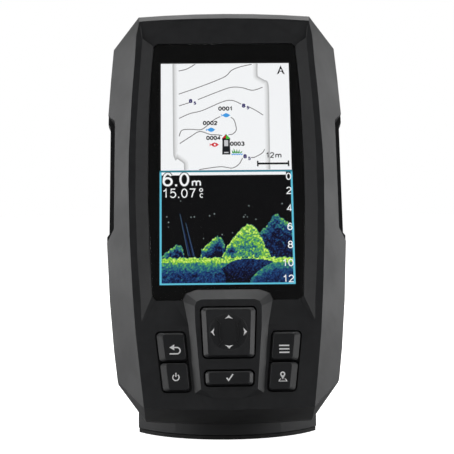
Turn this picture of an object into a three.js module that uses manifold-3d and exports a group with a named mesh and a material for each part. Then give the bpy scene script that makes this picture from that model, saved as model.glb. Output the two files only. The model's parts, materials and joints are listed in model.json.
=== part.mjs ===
// Portrait fish finder on a tilt and swivel mount. Millimetres, +Z up, the screen faces -Y.
// The origin is the centre of the mount's underside.
//
// Everything in the head is drawn in the head's own frame and leaned back by one nested group:
// x to the right, y back into the head (called depth here), z up the face, origin at the
// centre of the display. The mount below the tilt bolt is drawn upright.

import * as THREE from 'three';
import { mergeVertices } from 'three/addons/utils/BufferGeometryUtils.js';
import Module from 'manifold-3d';

const wasm = await Module();
wasm.setup();

// ---- Driving dimensions -------------------------------------------------------------------

const GAP = 0.3; // between pieces that touch
const BITE = 0.1; // how far a cutter or a joined solid runs past the face that it meets
const PAST = 1; // how far a through cut runs past both faces
const WELD = 1e-4; // corners closer than this are one
const TINY = 1e-6; // lengths below this count as none
const ROUND_SIDES = 24; // sides on a turned piece
const SMALL_SIDES = 16;
const HOLE_SIDES = 12;
const DISC_SIDES = 48;
const HEAD_LEAN = 20; // degrees from upright at rest

// Depths through the head, from the front.
const ISLAND = -5.5;
const FACE = -3.7;
const TOP_EDGE = -2;
const GLASS = -1.5;
const SEAT = -0.4;
const INNER_FACE = 1.8;
const BAND = 10;
const PARTING = 12;
const HOUSING_FRONT = PARTING + GAP;
const HOUSING_BAND = 16;
const HOUSING_WAIST = 26;
const BACK = 40;

// Right half of the head's front ridge and of its outline at the parting line, from the middle
// of the top round to the middle of the bottom. The two lists pair up point by point.
const RIDGE = [
  [0, 66.2], [12, 66.05], [24, 65.65], [35, 64.9], [36.2, 58.4], [36.8, 47], [37.9, 30.4],
  [38.9, 7.8], [39, -5], [38.4, -28], [37.1, -50.5], [35.8, -67.3], [34, -83.3],
  [32.4, -96.8], [32.4, -96.8], [16, -97.4], [0, -97.6],
];
const OUTLINE = [
  [0, 69], [12, 68.85], [24, 68.35], [35.3, 67.6], [46.2, 58.4], [47.2, 45], [48.16, 28.8],
  [48.45, 7], [48.45, -8], [48.16, -25.3], [46.7, -51], [44.9, -70.6], [43.3, -83.3],
  [43.3, -83.3], [32.4, -98.2], [16, -99.1], [0, -99.4],
];
const TOP_POINTS = 4; // points of either list that lie along the top edge

// Finger grip cut into each side of the case.
const GRIP = { top: 28.8, bottom: -26.4, slope: 4.3, run: 1.43, bezelHalf: 45.1, housingHalf: 47.3 };

// Display recess: its edge on the face and the edge of the lens at its foot, pair by pair.
const RECESS_EDGE = [
  [0, 65.7], [34.2, 64.2], [33.7, 56], [34.6, 43], [35.4, 30.4], [36.2, 7.9], [36.15, -13.4],
  [35.3, -35.9], [33.5, -62.6], [28.1, -54.1], [0, -54.1],
];
const LENS_EDGE = [
  [0, 55.8], [27.8, 55.8], [29.2, 54.2], [30.1, 43], [30.8, 31.4], [31.3, 8.7], [31.3, -12.7],
  [30.5, -35.2], [29.6, -52.2], [28.1, -54], [0, -54],
];

// Slope above the display, which runs out to the side strips, and the slope below it that the
// keypad rises from: each one's edge on the face and its foot, pair by pair.
const BROW_EDGE = [[0, 65.7], [34.2, 64.2], [34.2, 40], [0, 40]];
const BROW_FOOT = [[0, 55.8], [34.2, 55.8], [34.2, 40], [0, 40]];
const BROW_LIMIT = [[0, 66], [34.2, 64.4], [33.7, 57.3], [28.5, 54.4], [0, 54.4]];
const CHIN_EDGE = [[0, -52], [28, -52], [32.4, -62.2], [28.8, -64.5], [0, -64.5]];
const CHIN_FOOT = [[0, -52], [28, -52], [28.2, -53.8], [28, -54.1], [0, -54.1]];
const CHIN_STEP = -1.8;

const LENS_THICKNESS = 0.8;
const DISPLAY = { width: 53.9, height: 95, margin: 0.3 };
const MODULE = { half: 30, bottom: -52.5, top: 54, front: 0.6, thickness: 2 };
const TRAY = { wall: 0.6, front: 1, back: 4.7 };

// Raised keypad island in the middle of the chin.
const ISLAND_FOOT = [
  [0, -49.7], [12.3, -49.7], [16.3, -51.2], [17.8, -54.3], [18.7, -64.1], [16.4, -90.9], [15.6, -92.6],
  [0, -97.2],
];
const ISLAND_TOP = [
  [0, -54.7], [10.3, -54.7], [12.2, -55.5], [12.95, -57.4], [12.8, -64.8], [10.8, -90], [10.1, -90.4],
  [0, -90.6],
];

// Keys: corners clockwise from the upper left, on the middle of the gap round each key.
const ROCKER = [[-10.8, -57.7], [10.8, -57.7], [9.9, -78], [-9.9, -78]];
const ENTER = [[-9.6, -82.7], [9.6, -82.7], [9.3, -88.9], [-9.3, -88.9]];
const SIDE_UPPER = [[-28.2, -67.1], [-16.8, -67.1], [-15.6, -79], [-26.8, -79]];
const SIDE_LOWER = [[-26.8, -79], [-15.6, -79], [-14.4, -90.7], [-25.4, -90.7]];
const SIDE_PAIR = [SIDE_UPPER[0], SIDE_UPPER[1], SIDE_LOWER[2], SIDE_LOWER[3]];
const KEY = { topSide: -4.8, topIsland: -6.5, bevel: 1.1, foot: -0.2 };
const KEY_CORNERS = { opening: 1.8, crown: 1.1, edge: 1.45, lip: 1 };

// How far each key's top sits inside its edge, and how far its lip stands out: top, right,
// bottom and left. The side keys are given as the left one is seen, and the right one mirrors it.
const LIP = 1;
const ROCKER_EDGES = { insets: [1, 1.7, 0.6, 1.7], lips: [LIP, LIP, LIP, LIP] };
const ENTER_EDGES = { insets: [0.6, 1.4, 0.5, 1.4], lips: [LIP, LIP, LIP, LIP] };
const UPPER_EDGES = { insets: [0.9, 0.5, 0.5, 2.3], lips: [LIP, LIP, -GAP, LIP] };
const LOWER_EDGES = { insets: [0.5, 0.5, 0.5, 2.3], lips: [-GAP, LIP, LIP, LIP] };
const ROCKER_PLAY = 0.8; // room for the rocker's lip to rise
const ROCKER_POST = { radius: 1.7, z: -68, front: -2.7, back: 0.4, bore: 2.1 };
const KEY_POCKET = [
  [-29.8, -56.2], [29.8, -56.2], [29.8, -66], [26.8, -92.2], [-26.8, -92.2], [-29.8, -66],
];
const MEMBRANE = { front: 0.7, back: 1.8, inset: 1 };
const DOME = { tip: 4.9, footRadius: 2.4, tipRadius: 1.44, arrowReach: 7 };

// Board and what is on it.
const BOARD = { front: 5.2, back: 6.8 };
const BOARD_EDGE = [
  [0, 61], [29.5, 61], [33.5, 57.8], [34.5, -70], [31, -76], [24, -81], [24, -88.5], [0, -88.5],
];
const BOARD_SCREWS = [[29, 58.4], [-29, 58.4], [31.6, -60], [-31.6, -60]];
const BOARD_SCREW = { head: 2.2, headHeight: 1.4, shank: 1.1, tip: 2.6, pilot: 2.2 };
const BOARD_BOSS = { radius: 2.4, front: 1 };
const SHIELD = { left: -24, right: 6, bottom: -6, top: 26, height: 3 };
const ANTENNA = { half: 9, bottom: 38, top: 56, height: 4 };
const BEEPER = { radius: 6, x: 18, z: -24, height: 5 };

// Screws that close the case, each in a boss.
const CASE_SCREWS = [[39.5, 50], [-39.5, 50], [39.6, -36], [-39.6, -36], [30.5, -84.5], [-30.5, -84.5]];
const CASE_SCREW = {
  head: 2.7, headHeight: 2, shank: 1.4, seat: 20, tip: 5.5, pilot: 5, bossRadius: 4.4, bezelBossRadius: 3.4,
  counterbore: 3.2,
};
const CROSS = { half: 0.45, depth: 0.8, reach: 0.6 }; // drive recess, its reach as a share of the head

// Shares of the outline's width and height at which the gasket groove and the cavity run.
const CAVITY_SHARE = [0.875, 0.92];
const WAIST_SHARE = [0.93, 0.94];
const FLOOR_SHARE = [0.92, 0.93];
const GROOVE_SHARES = [[0.888, 0.932], [0.922, 0.953]];
const GASKET_SHARES = [[0.8945, 0.9365], [0.9155, 0.9485]];
const GROOVE_DEPTH = 1.2;

// Shares of the outline's half width, upper height and lower height at each housing depth.
const HOUSING_TAPER = [
  [HOUSING_FRONT, 1, 1, 1], [HOUSING_BAND, 1, 1, 1],
  [HOUSING_WAIST, 0.95, 0.95, 0.83], [BACK, 0.8, 0.8, 0.63],
];
const HOUSING_FLOOR = 37;

// Rail on the back that slides into the cradle, and the cradle round it.
const RAIL = { neckHalf: 8.5, flangeHalf: 12.5, neckDepth: 3.3, flangeDepth: 3, bottom: -58, top: -12 };
const CRADLE = { wall: 3.7, clearance: 0.6, floor: 3.2 };
const CRADLE_EAR = { gap: 0.4, thickness: 2.8, rise: 4, reach: 3 };
const SOCKETS = { power: -15, transducer: 15, z: 14, bore: 6.5, outer: 8, flange: 10, mouth: 52 };
const SOCKET_DEPTHS = { root: 34, flange: 1.7, insulator: 2, pins: 45 };
const CONTACT = { circle: 3.2, radius: 0.7, sides: 10 };

// Quick-release lever behind the cradle: its pin, its plate and its tooth.
const LEVER = { pinDepth: 55.5, pinZ: -20, half: 8, thickness: 5, foot: -32, head: -9.5, toothTip: 45.4 };
const THUMB_LIP = { rise: 0.8, flat: 3, ramp: 4.5 };
const LEVER_CORNER = { back: 1, toothRun: 0.6, toothDrop: 0.8 };
const PIN_RADIUS = 1.2;
const PIN_OVERRUN = 3.4;
const SPRING = { turns: 4, radius: 2, wire: 0.4, half: 2.4, stepsPerTurn: 10, wireSegments: 3 };
const SPRING_SLOT_HALF = 3.3;

// Tilt bolt, in the head's frame and in the upright one.
const TILT = { depth: 60.3, z: -42.8, uprightY: 8, uprightZ: 46, bolt: 3, knuckleHalf: 6, knuckle: 9 };
const TILT_WASHER = { radius: 8, thickness: 1 };
const TILT_BOLT_ENDS = { headRadius: 5.6, headThickness: 4, overrun: 13.5 };
const EAR = { thickness: 6, radius: 9.5, footFront: -4, footBack: 22, crownSteps: 12 };
const KNOB = {
  radius: 12.5, lobes: 6, lobeDepth: 1.6, stepsPerLobe: 8, width: 11.5, hub: 7, hubWidth: 6, boreDepth: 8.5,
};

// Base.
const PAD = { radius: 42, half: 36.3, thickness: 1.5 };
const BASE = { radius: 42.3, half: 36.6, shoulder: 8, top: 13, topRadius: 33 };
const BASE_HOLES = { radius: 35.5, hole: 2.5, seat: 4.2, seatFloor: 5.5, angles: [45, 135, 225, 315] };
const TURRET = { radius: 30, thickness: 5, chamfer: 1.5 };
const SWIVEL_BOLT = {
  radius: 3, head: 6, headHeight: 3.5, headRoom: 1.2, washer: 7, washerHeight: 1.2, nut: 5.8, nutHeight: 5,
  overrun: 2,
};

// ---- Materials ----------------------------------------------------------------------------

const finish = (color, roughness, metalness = 0) =>
  new THREE.MeshStandardMaterial({ color, roughness, metalness });
const CASE_PLASTIC = finish(0x1e1f21, 0.6);
const KEY_RUBBER = finish(0x202123, 0.55);
const LENS_GLASS = finish(0x0c0d0f, 0.1);
const SCREEN = finish(0xdfe6ea, 0.3);
const SILICONE = finish(0x3a3c3f, 0.8);
const RUBBER = finish(0x141414, 0.9);
const BOARD_GREEN = finish(0x174a2c, 0.5);
const TIN = finish(0xb9bcc0, 0.35, 1);
const STEEL = finish(0x9a9da1, 0.3, 1);
const CERAMIC = finish(0xd8cfae, 0.5);
const GOLD = finish(0xc9a24a, 0.3, 1);

// ---- Geometry helpers -----------------------------------------------------------------------

/** Turns a closed geometry into a manifold-3d solid. */
function toSolid(geometry) {
  const plain = geometry.clone();
  for (const name of Object.keys(plain.attributes)) {
    if (name !== 'position') plain.deleteAttribute(name);
  }
  const merged = mergeVertices(plain, WELD);
  const mesh = new wasm.Mesh({
    numProp: 3,
    vertProperties: new Float32Array(merged.attributes.position.array),
    triVerts: new Uint32Array(merged.index.array),
  });
  return new wasm.Manifold(mesh);
}

/** Turns a manifold-3d solid back into a geometry. */
function toGeometry(solid) {
  const mesh = solid.getMesh();
  const geometry = new THREE.BufferGeometry();
  geometry.setAttribute('position', new THREE.BufferAttribute(mesh.vertProperties, 3));
  geometry.setIndex(new THREE.BufferAttribute(mesh.triVerts, 1));
  geometry.computeVertexNormals();
  return geometry;
}

const join = (first, ...others) =>
  toGeometry(others.reduce((solid, other) => solid.add(toSolid(other)), toSolid(first)));
const cut = (first, ...others) =>
  toGeometry(others.reduce((solid, other) => solid.subtract(toSolid(other)), toSolid(first)));
const common = (first, second) => toGeometry(toSolid(first).intersect(toSolid(second)));

/** Completes the right half of an outline with its mirror image, clockwise from the top. */
function mirrored(half) {
  const isMiddle = ([x]) => Math.abs(x) < TINY;
  const left = half.filter((point) => !isMiddle(point)).map(([x, z]) => [-x, z]).reverse();
  return [...half, ...left];
}

const flipped = (corners) => corners.map(([x, z]) => [-x, z]).reverse();
const atDepth = (points, depth) => points.map(([x, z]) => new THREE.Vector3(x, depth, z));
const between = (from, to, share) =>
  from.map(([x, z], i) => [x + (to[i][0] - x) * share, z + (to[i][1] - z) * share]);
const scaled = (points, [shareX, shareZ]) => points.map(([x, z]) => [x * shareX, z * shareZ]);

/** Moves each edge of a clockwise polygon outwards by its own distance (inwards if negative). */
function offset(points, distances) {
  const count = points.length;
  const reach = (i) => (Array.isArray(distances) ? distances[i % distances.length] : distances);
  const lines = points.map(([x, z], i) => {
    const [nextX, nextZ] = points[(i + 1) % count];
    const length = Math.hypot(nextX - x, nextZ - z);
    const normal = [-(nextZ - z) / length, (nextX - x) / length];
    return { normal, level: normal[0] * x + normal[1] * z + reach(i) };
  });
  return lines.map((line, i) => {
    const before = lines[(i + count - 1) % count];
    const [a, b] = before.normal;
    const [c, d] = line.normal;
    const scale = a * d - b * c;
    if (Math.abs(scale) < TINY) return [points[i][0] + c * reach(i), points[i][1] + d * reach(i)];
    return [(before.level * d - b * line.level) / scale, (a * line.level - before.level * c) / scale];
  });
}

/** Rounds the corners of a clockwise polygon with arcs of a few straight steps. */
function rounded(points, radius, steps = 4) {
  const count = points.length;
  return points.flatMap((corner, i) => {
    const here = new THREE.Vector2(...corner);
    const toBefore = new THREE.Vector2(...points[(i + count - 1) % count]).sub(here).normalize();
    const toAfter = new THREE.Vector2(...points[(i + 1) % count]).sub(here).normalize();
    const halfAngle = Math.acos(toBefore.dot(toAfter)) / 2;
    const centre = toBefore.clone().add(toAfter).normalize();
    centre.multiplyScalar(radius / Math.sin(halfAngle)).add(here);
    const start = here.clone().addScaledVector(toBefore, radius / Math.tan(halfAngle)).sub(centre);
    const turn = -(Math.PI - 2 * halfAngle) / steps;
    return Array.from({ length: steps + 1 }, (_, step) => {
      const spoke = start.clone().rotateAround(new THREE.Vector2(), turn * step);
      return [centre.x + spoke.x, centre.y + spoke.y];
    });
  });
}

/** Closed solid through clockwise rings of equal length, listed from front to back. */
function loft(rings) {
  const count = rings[0].length;
  const corners = rings.flat();
  const triangles = [];
  const keep = (a, b, c) => {
    const apart = (p, q) => corners[p].distanceTo(corners[q]) > TINY;
    if (apart(a, b) && apart(b, c) && apart(c, a)) triangles.push(a, b, c);
  };
  const middle = new THREE.Box3().setFromPoints(corners).getCenter(new THREE.Vector3());
  const outward = (p, q) => {
    const point = corners[p].clone().add(corners[q]).multiplyScalar(0.5).sub(middle);
    return Math.hypot(point.x, point.z);
  };
  for (let ring = 0; ring < rings.length - 1; ring++) {
    for (let i = 0; i < count; i++) {
      const a = ring * count + i;
      const b = ring * count + ((i + 1) % count);
      const [c, d] = [a + count, b + count];
      if (outward(a, d) > outward(b, c)) {
        keep(a, b, d);
        keep(a, d, c);
      } else {
        keep(a, b, c);
        keep(b, d, c);
      }
    }
  }
  const cap = (first, facing) => {
    const ring = rings[first / count];
    const used = ring.map((_, i) => i).filter((i) => ring[i].distanceTo(ring[(i + 1) % count]) > TINY);
    const contour = used.map((i) => new THREE.Vector2(ring[i].x, ring[i].z));
    for (const face of THREE.ShapeUtils.triangulateShape(contour, [])) {
      const [p, q, r] = face.map((i) => contour[i]);
      const turn = q.clone().sub(p).cross(r.clone().sub(p));
      const order = turn * facing > 0 ? face : [face[0], face[2], face[1]];
      keep(...order.map((i) => first + used[i]));
    }
  };
  cap(0, 1);
  cap((rings.length - 1) * count, -1);
  const geometry = new THREE.BufferGeometry().setFromPoints(corners);
  geometry.setIndex(triangles);
  return geometry;
}

/** Straight-sided solid with the same outline from one depth to another. */
const prism = (points, front, back) => loft([atDepth(points, front), atDepth(points, back)]);

/** Box given by its lowest and highest corners. */
function block([x0, y0, z0], [x1, y1, z1]) {
  const box = new THREE.BoxGeometry(x1 - x0, y1 - y0, z1 - z0);
  return box.translate((x0 + x1) / 2, (y0 + y1) / 2, (z0 + z1) / 2);
}

/** Round bar running back through the head. */
function barDeep(radius, x, z, front, back, sides = ROUND_SIDES) {
  const bar = new THREE.CylinderGeometry(radius, radius, back - front, sides);
  return bar.translate(x, (front + back) / 2, z);
}

/** Round bar running across, along X. */
function barAcross(radius, x0, x1, y, z, sides = ROUND_SIDES) {
  const bar = new THREE.CylinderGeometry(radius, radius, x1 - x0, sides).rotateZ(Math.PI / 2);
  return bar.translate((x0 + x1) / 2, y, z);
}

/** Round bar standing up, along Z, on the swivel axis unless it is told otherwise. */
function barUp(radius, z0, z1, { x = 0, y = 0, sides = ROUND_SIDES, topRadius = radius } = {}) {
  const bar = new THREE.CylinderGeometry(topRadius, radius, z1 - z0, sides).rotateX(Math.PI / 2);
  return bar.translate(x, y, (z0 + z1) / 2);
}

/** Outline in y and z, drawn clockwise or anticlockwise, carried along X. */
function slabAcross(points, x0, x1) {
  const shape = new THREE.Shape(points.map(([y, z]) => new THREE.Vector2(y, z)));
  const slab = new THREE.ExtrudeGeometry(shape, { depth: x1 - x0, bevelEnabled: false });
  return slab.applyMatrix4(new THREE.Matrix4().set(0, 0, 1, x0, 1, 0, 0, 0, 0, 1, 0, 0, 0, 0, 0, 1));
}

/** Outline in x and depth carried up the head, along Z. */
function slabUp(points, z0, z1) {
  const shape = new THREE.Shape(points.map(([x, y]) => new THREE.Vector2(x, y)));
  const slab = new THREE.ExtrudeGeometry(shape, { depth: z1 - z0, bevelEnabled: false });
  return slab.translate(0, 0, z0);
}

/** Adds a named mesh to a group. */
function place(group, name, geometry, material) {
  const mesh = new THREE.Mesh(geometry, material);
  mesh.name = name;
  group.add(mesh);
}

// ---- Case -----------------------------------------------------------------------------------

const outline = mirrored(OUTLINE);
const ridge = mirrored(RIDGE);
const chamferShare = (depth) => (depth - FACE) / (BAND - FACE);

/** Outline part way down the case's big side chamfer, with the top edge already full height. */
function chamferRing(depth) {
  const half = between(RIDGE, OUTLINE, chamferShare(depth));
  return mirrored(half.map((point, i) => (i < TOP_POINTS ? OUTLINE[i] : point)));
}

/** Wedge-ended block that cuts the finger grip back to a half width, on both sides. */
function gripCutters(halfWidth, front, back) {
  const reach = OUTLINE[7][0] + 2;
  const run = (reach - halfWidth) * GRIP.run;
  const right = [
    [halfWidth, GRIP.top - GRIP.slope], [reach, GRIP.top - GRIP.slope + run],
    [reach, GRIP.bottom + GRIP.slope - run], [halfWidth, GRIP.bottom + GRIP.slope],
  ];
  return [prism(right, front, back), prism(flipped(right), front, back)];
}

/** Housing outline at a depth, from the taper table. */
function housingRing(depth) {
  const last = HOUSING_TAPER.findIndex(([at]) => at >= depth);
  const [d1, ...to] = HOUSING_TAPER[last];
  const [d0, ...from] = HOUSING_TAPER[Math.max(last - 1, 0)];
  const share = d1 > d0 ? (depth - d0) / (d1 - d0) : 0;
  const [wide, high, low] = from.map((value, i) => value + (to[i] - value) * share);
  return outline.map(([x, z]) => [x * wide, z * (z > 0 ? high : low)]);
}

/** Solid in front of the slope from a foot at some depth to an edge on the face. */
function slopeCutter(edge, foot, depth) {
  const outer = between(mirrored(foot), mirrored(edge), 2);
  return loft([atDepth(outer, 2 * FACE - depth), atDepth(mirrored(foot), depth)]);
}

function makeFrontBezel() {
  const shell = loft([
    atDepth(ridge, FACE), atDepth(chamferRing(TOP_EDGE), TOP_EDGE),
    atDepth(outline, BAND), atDepth(outline, PARTING),
  ]);
  const lens = mirrored(LENS_EDGE);
  const recess = slopeCutter(RECESS_EDGE, LENS_EDGE, GLASS);
  const seat = prism(lens, GLASS - BITE, SEAT);
  const brow = common(
    slopeCutter(BROW_EDGE, BROW_FOOT, GLASS),
    prism(mirrored(BROW_LIMIT), 2 * FACE, GLASS),
  );
  const chin = slopeCutter(CHIN_EDGE, CHIN_FOOT, CHIN_STEP);
  const island = loft([
    atDepth(mirrored(ISLAND_TOP), ISLAND), atDepth(mirrored(ISLAND_FOOT), GLASS),
    atDepth(mirrored(ISLAND_FOOT), SEAT + BITE),
  ]);
  const solid = join(cut(shell, recess, seat, brow, chin), island);

  const windowHalf = DISPLAY.width / 2 + DISPLAY.margin;
  const windowRise = DISPLAY.height / 2 + DISPLAY.margin;
  const modulePocket = MODULE.half + TRAY.wall + 2 * GAP;
  const cavity = loft([
    atDepth(scaled(chamferRing(INNER_FACE), CAVITY_SHARE), INNER_FACE),
    atDepth(scaled(outline, CAVITY_SHARE), PARTING + BITE),
  ]);
  const pocketTop = MODULE.top + TRAY.wall + 2 * GAP;
  const pocketBottom = MODULE.bottom - TRAY.wall - 2 * GAP;
  const hollow = cut(
    solid,
    cavity,
    block([-windowHalf, GLASS, -windowRise], [windowHalf, INNER_FACE, windowRise]),
    block([-modulePocket, GAP, pocketBottom], [modulePocket, INNER_FACE + BITE, pocketTop]),
    prism(KEY_POCKET, GLASS, INNER_FACE + BITE),
  );
  const boardBosses = BOARD_SCREWS.map(([x, z]) =>
    barDeep(BOARD_BOSS.radius, x, z, BOARD_BOSS.front, BOARD.front - GAP, SMALL_SIDES));
  const caseBosses = CASE_SCREWS.map(([x, z]) =>
    common(barDeep(CASE_SCREW.bezelBossRadius, x, z, INNER_FACE - BITE, PARTING, SMALL_SIDES), shell));
  const grooveFront = PARTING - GROOVE_DEPTH;
  const groove = cut(
    prism(scaled(outline, GROOVE_SHARES[1]), grooveFront, PARTING + BITE),
    prism(scaled(outline, GROOVE_SHARES[0]), grooveFront - PAST, PARTING + PAST),
  );
  const keyOpenings = [ROCKER, ENTER, SIDE_PAIR, flipped(SIDE_PAIR)].map((corners) =>
    prism(rounded(offset(corners, GAP), KEY_CORNERS.opening), ISLAND - PAST, INNER_FACE));
  return cut(
    join(hollow, ...boardBosses, ...caseBosses),
    groove,
    ...gripCutters(GRIP.bezelHalf, FACE - PAST, PARTING + PAST),
    ...keyOpenings,
    ...BOARD_SCREWS.map(([x, z]) =>
      barDeep(BOARD_SCREW.shank + GAP, x, z, BOARD_SCREW.pilot, BOARD.front, HOLE_SIDES)),
    ...CASE_SCREWS.map(([x, z]) =>
      barDeep(CASE_SCREW.shank + GAP, x, z, CASE_SCREW.pilot, PARTING + PAST, HOLE_SIDES)),
  );
}

function makeRearHousing() {
  const depths = [HOUSING_FRONT, HOUSING_BAND, HOUSING_WAIST, BACK];
  const outer = cut(
    loft(depths.map((depth) => atDepth(housingRing(depth), depth))),
    ...gripCutters(GRIP.housingHalf, HOUSING_FRONT - PAST, HOUSING_WAIST),
  );
  const cavity = loft([
    atDepth(scaled(outline, CAVITY_SHARE), HOUSING_FRONT - BITE),
    atDepth(scaled(housingRing(HOUSING_WAIST), WAIST_SHARE), HOUSING_WAIST),
    atDepth(scaled(housingRing(HOUSING_FLOOR), FLOOR_SHARE), HOUSING_FLOOR),
  ]);
  const bosses = CASE_SCREWS.map(([x, z]) =>
    common(barDeep(CASE_SCREW.bossRadius, x, z, HOUSING_FRONT, BACK, SMALL_SIDES), outer));
  const { neckHalf, flangeHalf, neckDepth, flangeDepth, bottom, top } = RAIL;
  const neckBack = BACK + neckDepth;
  const rail = join(
    block([-neckHalf, HOUSING_FLOOR + PAST, bottom], [neckHalf, neckBack + BITE, top]),
    block([-flangeHalf, neckBack, bottom], [flangeHalf, neckBack + flangeDepth, top]),
  );
  return cut(
    join(cut(outer, cavity), ...bosses, rail),
    ...CASE_SCREWS.map(([x, z]) =>
      barDeep(CASE_SCREW.counterbore, x, z, CASE_SCREW.seat, BACK + PAST, ROUND_SIDES)),
    ...CASE_SCREWS.map(([x, z]) =>
      barDeep(CASE_SCREW.shank + GAP, x, z, HOUSING_FRONT - PAST, CASE_SCREW.seat + BITE, HOLE_SIDES)),
    ...[SOCKETS.power, SOCKETS.transducer].map((x) =>
      barDeep(SOCKETS.outer + GAP, x, SOCKETS.z, HOUSING_FLOOR - PAST, BACK + PAST)),
  );
}

function makeGasket() {
  const [inner, outer] = GASKET_SHARES.map((shares) => scaled(outline, shares));
  const front = PARTING - GROOVE_DEPTH + GAP;
  return cut(prism(outer, front, PARTING), prism(inner, front - PAST, PARTING + PAST));
}

function makeScrew({ head, headHeight, shank, tip }, x, z, seat) {
  const top = seat + headHeight;
  const reach = head * CROSS.reach;
  const cross = [[reach, CROSS.half], [CROSS.half, reach]].map(([halfX, halfZ]) =>
    block([x - halfX, top - CROSS.depth, z - halfZ], [x + halfX, top + PAST, z + halfZ]));
  const solid = join(
    barDeep(head, x, z, seat, top, SMALL_SIDES),
    barDeep(shank, x, z, tip, seat + BITE, HOLE_SIDES),
  );
  return cut(solid, ...cross);
}

function buildCase(group) {
  place(group, 'front_bezel', makeFrontBezel(), CASE_PLASTIC);
  place(group, 'rear_housing', makeRearHousing(), CASE_PLASTIC);
  place(group, 'case_gasket', makeGasket(), RUBBER);
  CASE_SCREWS.forEach(([x, z], i) => {
    const screw = makeScrew(CASE_SCREW, x, z, CASE_SCREW.seat + GAP);
    place(group, `case_screw_${i + 1}`, screw, STEEL);
  });
}

// ---- Display and electronics ------------------------------------------------------------------

function makeLens() {
  const pane = prism(offset(mirrored(LENS_EDGE), -GAP), GLASS, GLASS + LENS_THICKNESS);
  return cut(pane, prism(offset(mirrored(ISLAND_FOOT), GAP), GLASS - PAST, SEAT));
}

function makeTray() {
  const { half, bottom, top, front, thickness } = MODULE;
  const inner = half + GAP;
  const outer = inner + TRAY.wall;
  return cut(
    block([-outer, TRAY.front, bottom - GAP - TRAY.wall], [outer, TRAY.back, top + GAP + TRAY.wall]),
    block([-inner, TRAY.front - PAST, bottom - GAP], [inner, front + thickness + GAP, top + GAP]),
  );
}

/** Middle of a four-cornered key. */
function keyMiddle(corners) {
  const sum = corners.reduce(([x, z], corner) => [x + corner[0], z + corner[1]], [0, 0]);
  return sum.map((value) => value / corners.length);
}

function makeMembrane() {
  const { front, back, inset } = MEMBRANE;
  const { tip, footRadius, tipRadius, arrowReach } = DOME;
  const sheet = prism(offset(KEY_POCKET, -inset), front, back);
  const sideKeys = [SIDE_UPPER, SIDE_LOWER, flipped(SIDE_UPPER), flipped(SIDE_LOWER), ENTER];
  const arrows = [[0, 1], [1, 0], [0, -1], [-1, 0]].map(([x, z]) =>
    [x * arrowReach, ROCKER_POST.z + z * arrowReach]);
  const domes = [...sideKeys.map(keyMiddle), ...arrows].map(([x, z]) => {
    const foot = back - BITE;
    const cone = new THREE.CylinderGeometry(tipRadius, footRadius, tip - foot, SMALL_SIDES);
    return cone.translate(x, (tip + foot) / 2, z);
  });
  return join(sheet, ...domes);
}

function makeBoard() {
  const holes = BOARD_SCREWS.map(([x, z]) =>
    barDeep(BOARD_SCREW.shank + GAP, x, z, BOARD.front - PAST, BOARD.back + PAST, HOLE_SIDES));
  return cut(prism(mirrored(BOARD_EDGE), BOARD.front, BOARD.back), ...holes);
}

function buildElectronics(group) {
  const { half, bottom, top, front, thickness } = MODULE;
  const onBoard = BOARD.back + GAP;
  place(group, 'display_lens', makeLens(), LENS_GLASS);
  place(group, 'lcd_panel', block([-half, front, bottom], [half, front + thickness, top]), SCREEN);
  place(group, 'backlight_tray', makeTray(), TIN);
  place(group, 'keypad_membrane', makeMembrane(), SILICONE);
  place(group, 'main_board', makeBoard(), BOARD_GREEN);
  const shield = block(
    [SHIELD.left, onBoard, SHIELD.bottom],
    [SHIELD.right, onBoard + SHIELD.height, SHIELD.top],
  );
  place(group, 'shield_can', shield, TIN);
  const antenna = block(
    [-ANTENNA.half, onBoard, ANTENNA.bottom],
    [ANTENNA.half, onBoard + ANTENNA.height, ANTENNA.top],
  );
  place(group, 'gps_antenna', antenna, CERAMIC);
  const beeper = barDeep(BEEPER.radius, BEEPER.x, BEEPER.z, onBoard, onBoard + BEEPER.height);
  place(group, 'beeper', beeper, RUBBER);
  BOARD_SCREWS.forEach(([x, z], i) => {
    place(group, `board_screw_${i + 1}`, makeScrew(BOARD_SCREW, x, z, onBoard), STEEL);
  });
  buildSocket(group, 'power', SOCKETS.power, 2);
  buildSocket(group, 'transducer', SOCKETS.transducer, 4);
}

/** Round rear socket: a collar sealed in the housing and an insulator carrying its pins. */
function buildSocket(group, name, x, pins) {
  const { bore, outer, flange, mouth, z } = SOCKETS;
  const { root, insulator } = SOCKET_DEPTHS;
  const floor = BACK + GAP;
  const flangeBack = floor + SOCKET_DEPTHS.flange;
  const profile = [
    [0, root], [outer, root], [outer, floor], [flange, floor], [flange, flangeBack],
    [outer, flangeBack], [outer, mouth], [bore, mouth], [bore, floor], [0, floor],
  ];
  const collar = new THREE.LatheGeometry(profile.map(([r, d]) => new THREE.Vector2(r, d)), ROUND_SIDES);
  place(group, `${name}_socket`, collar.translate(x, 0, z), CASE_PLASTIC);
  const disc = barDeep(bore - GAP, x, z, floor + GAP, floor + insulator);
  const { circle, radius, sides } = CONTACT;
  const contacts = Array.from({ length: pins }, (_, i) => {
    const angle = (i / pins) * 2 * Math.PI;
    const [pinX, pinZ] = [x + circle * Math.cos(angle), z + circle * Math.sin(angle)];
    return barDeep(radius, pinX, pinZ, floor + insulator - BITE, SOCKET_DEPTHS.pins, sides);
  });
  place(group, `${name}_contacts`, join(disc, ...contacts), GOLD);
}

// ---- Keys -------------------------------------------------------------------------------------

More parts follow.
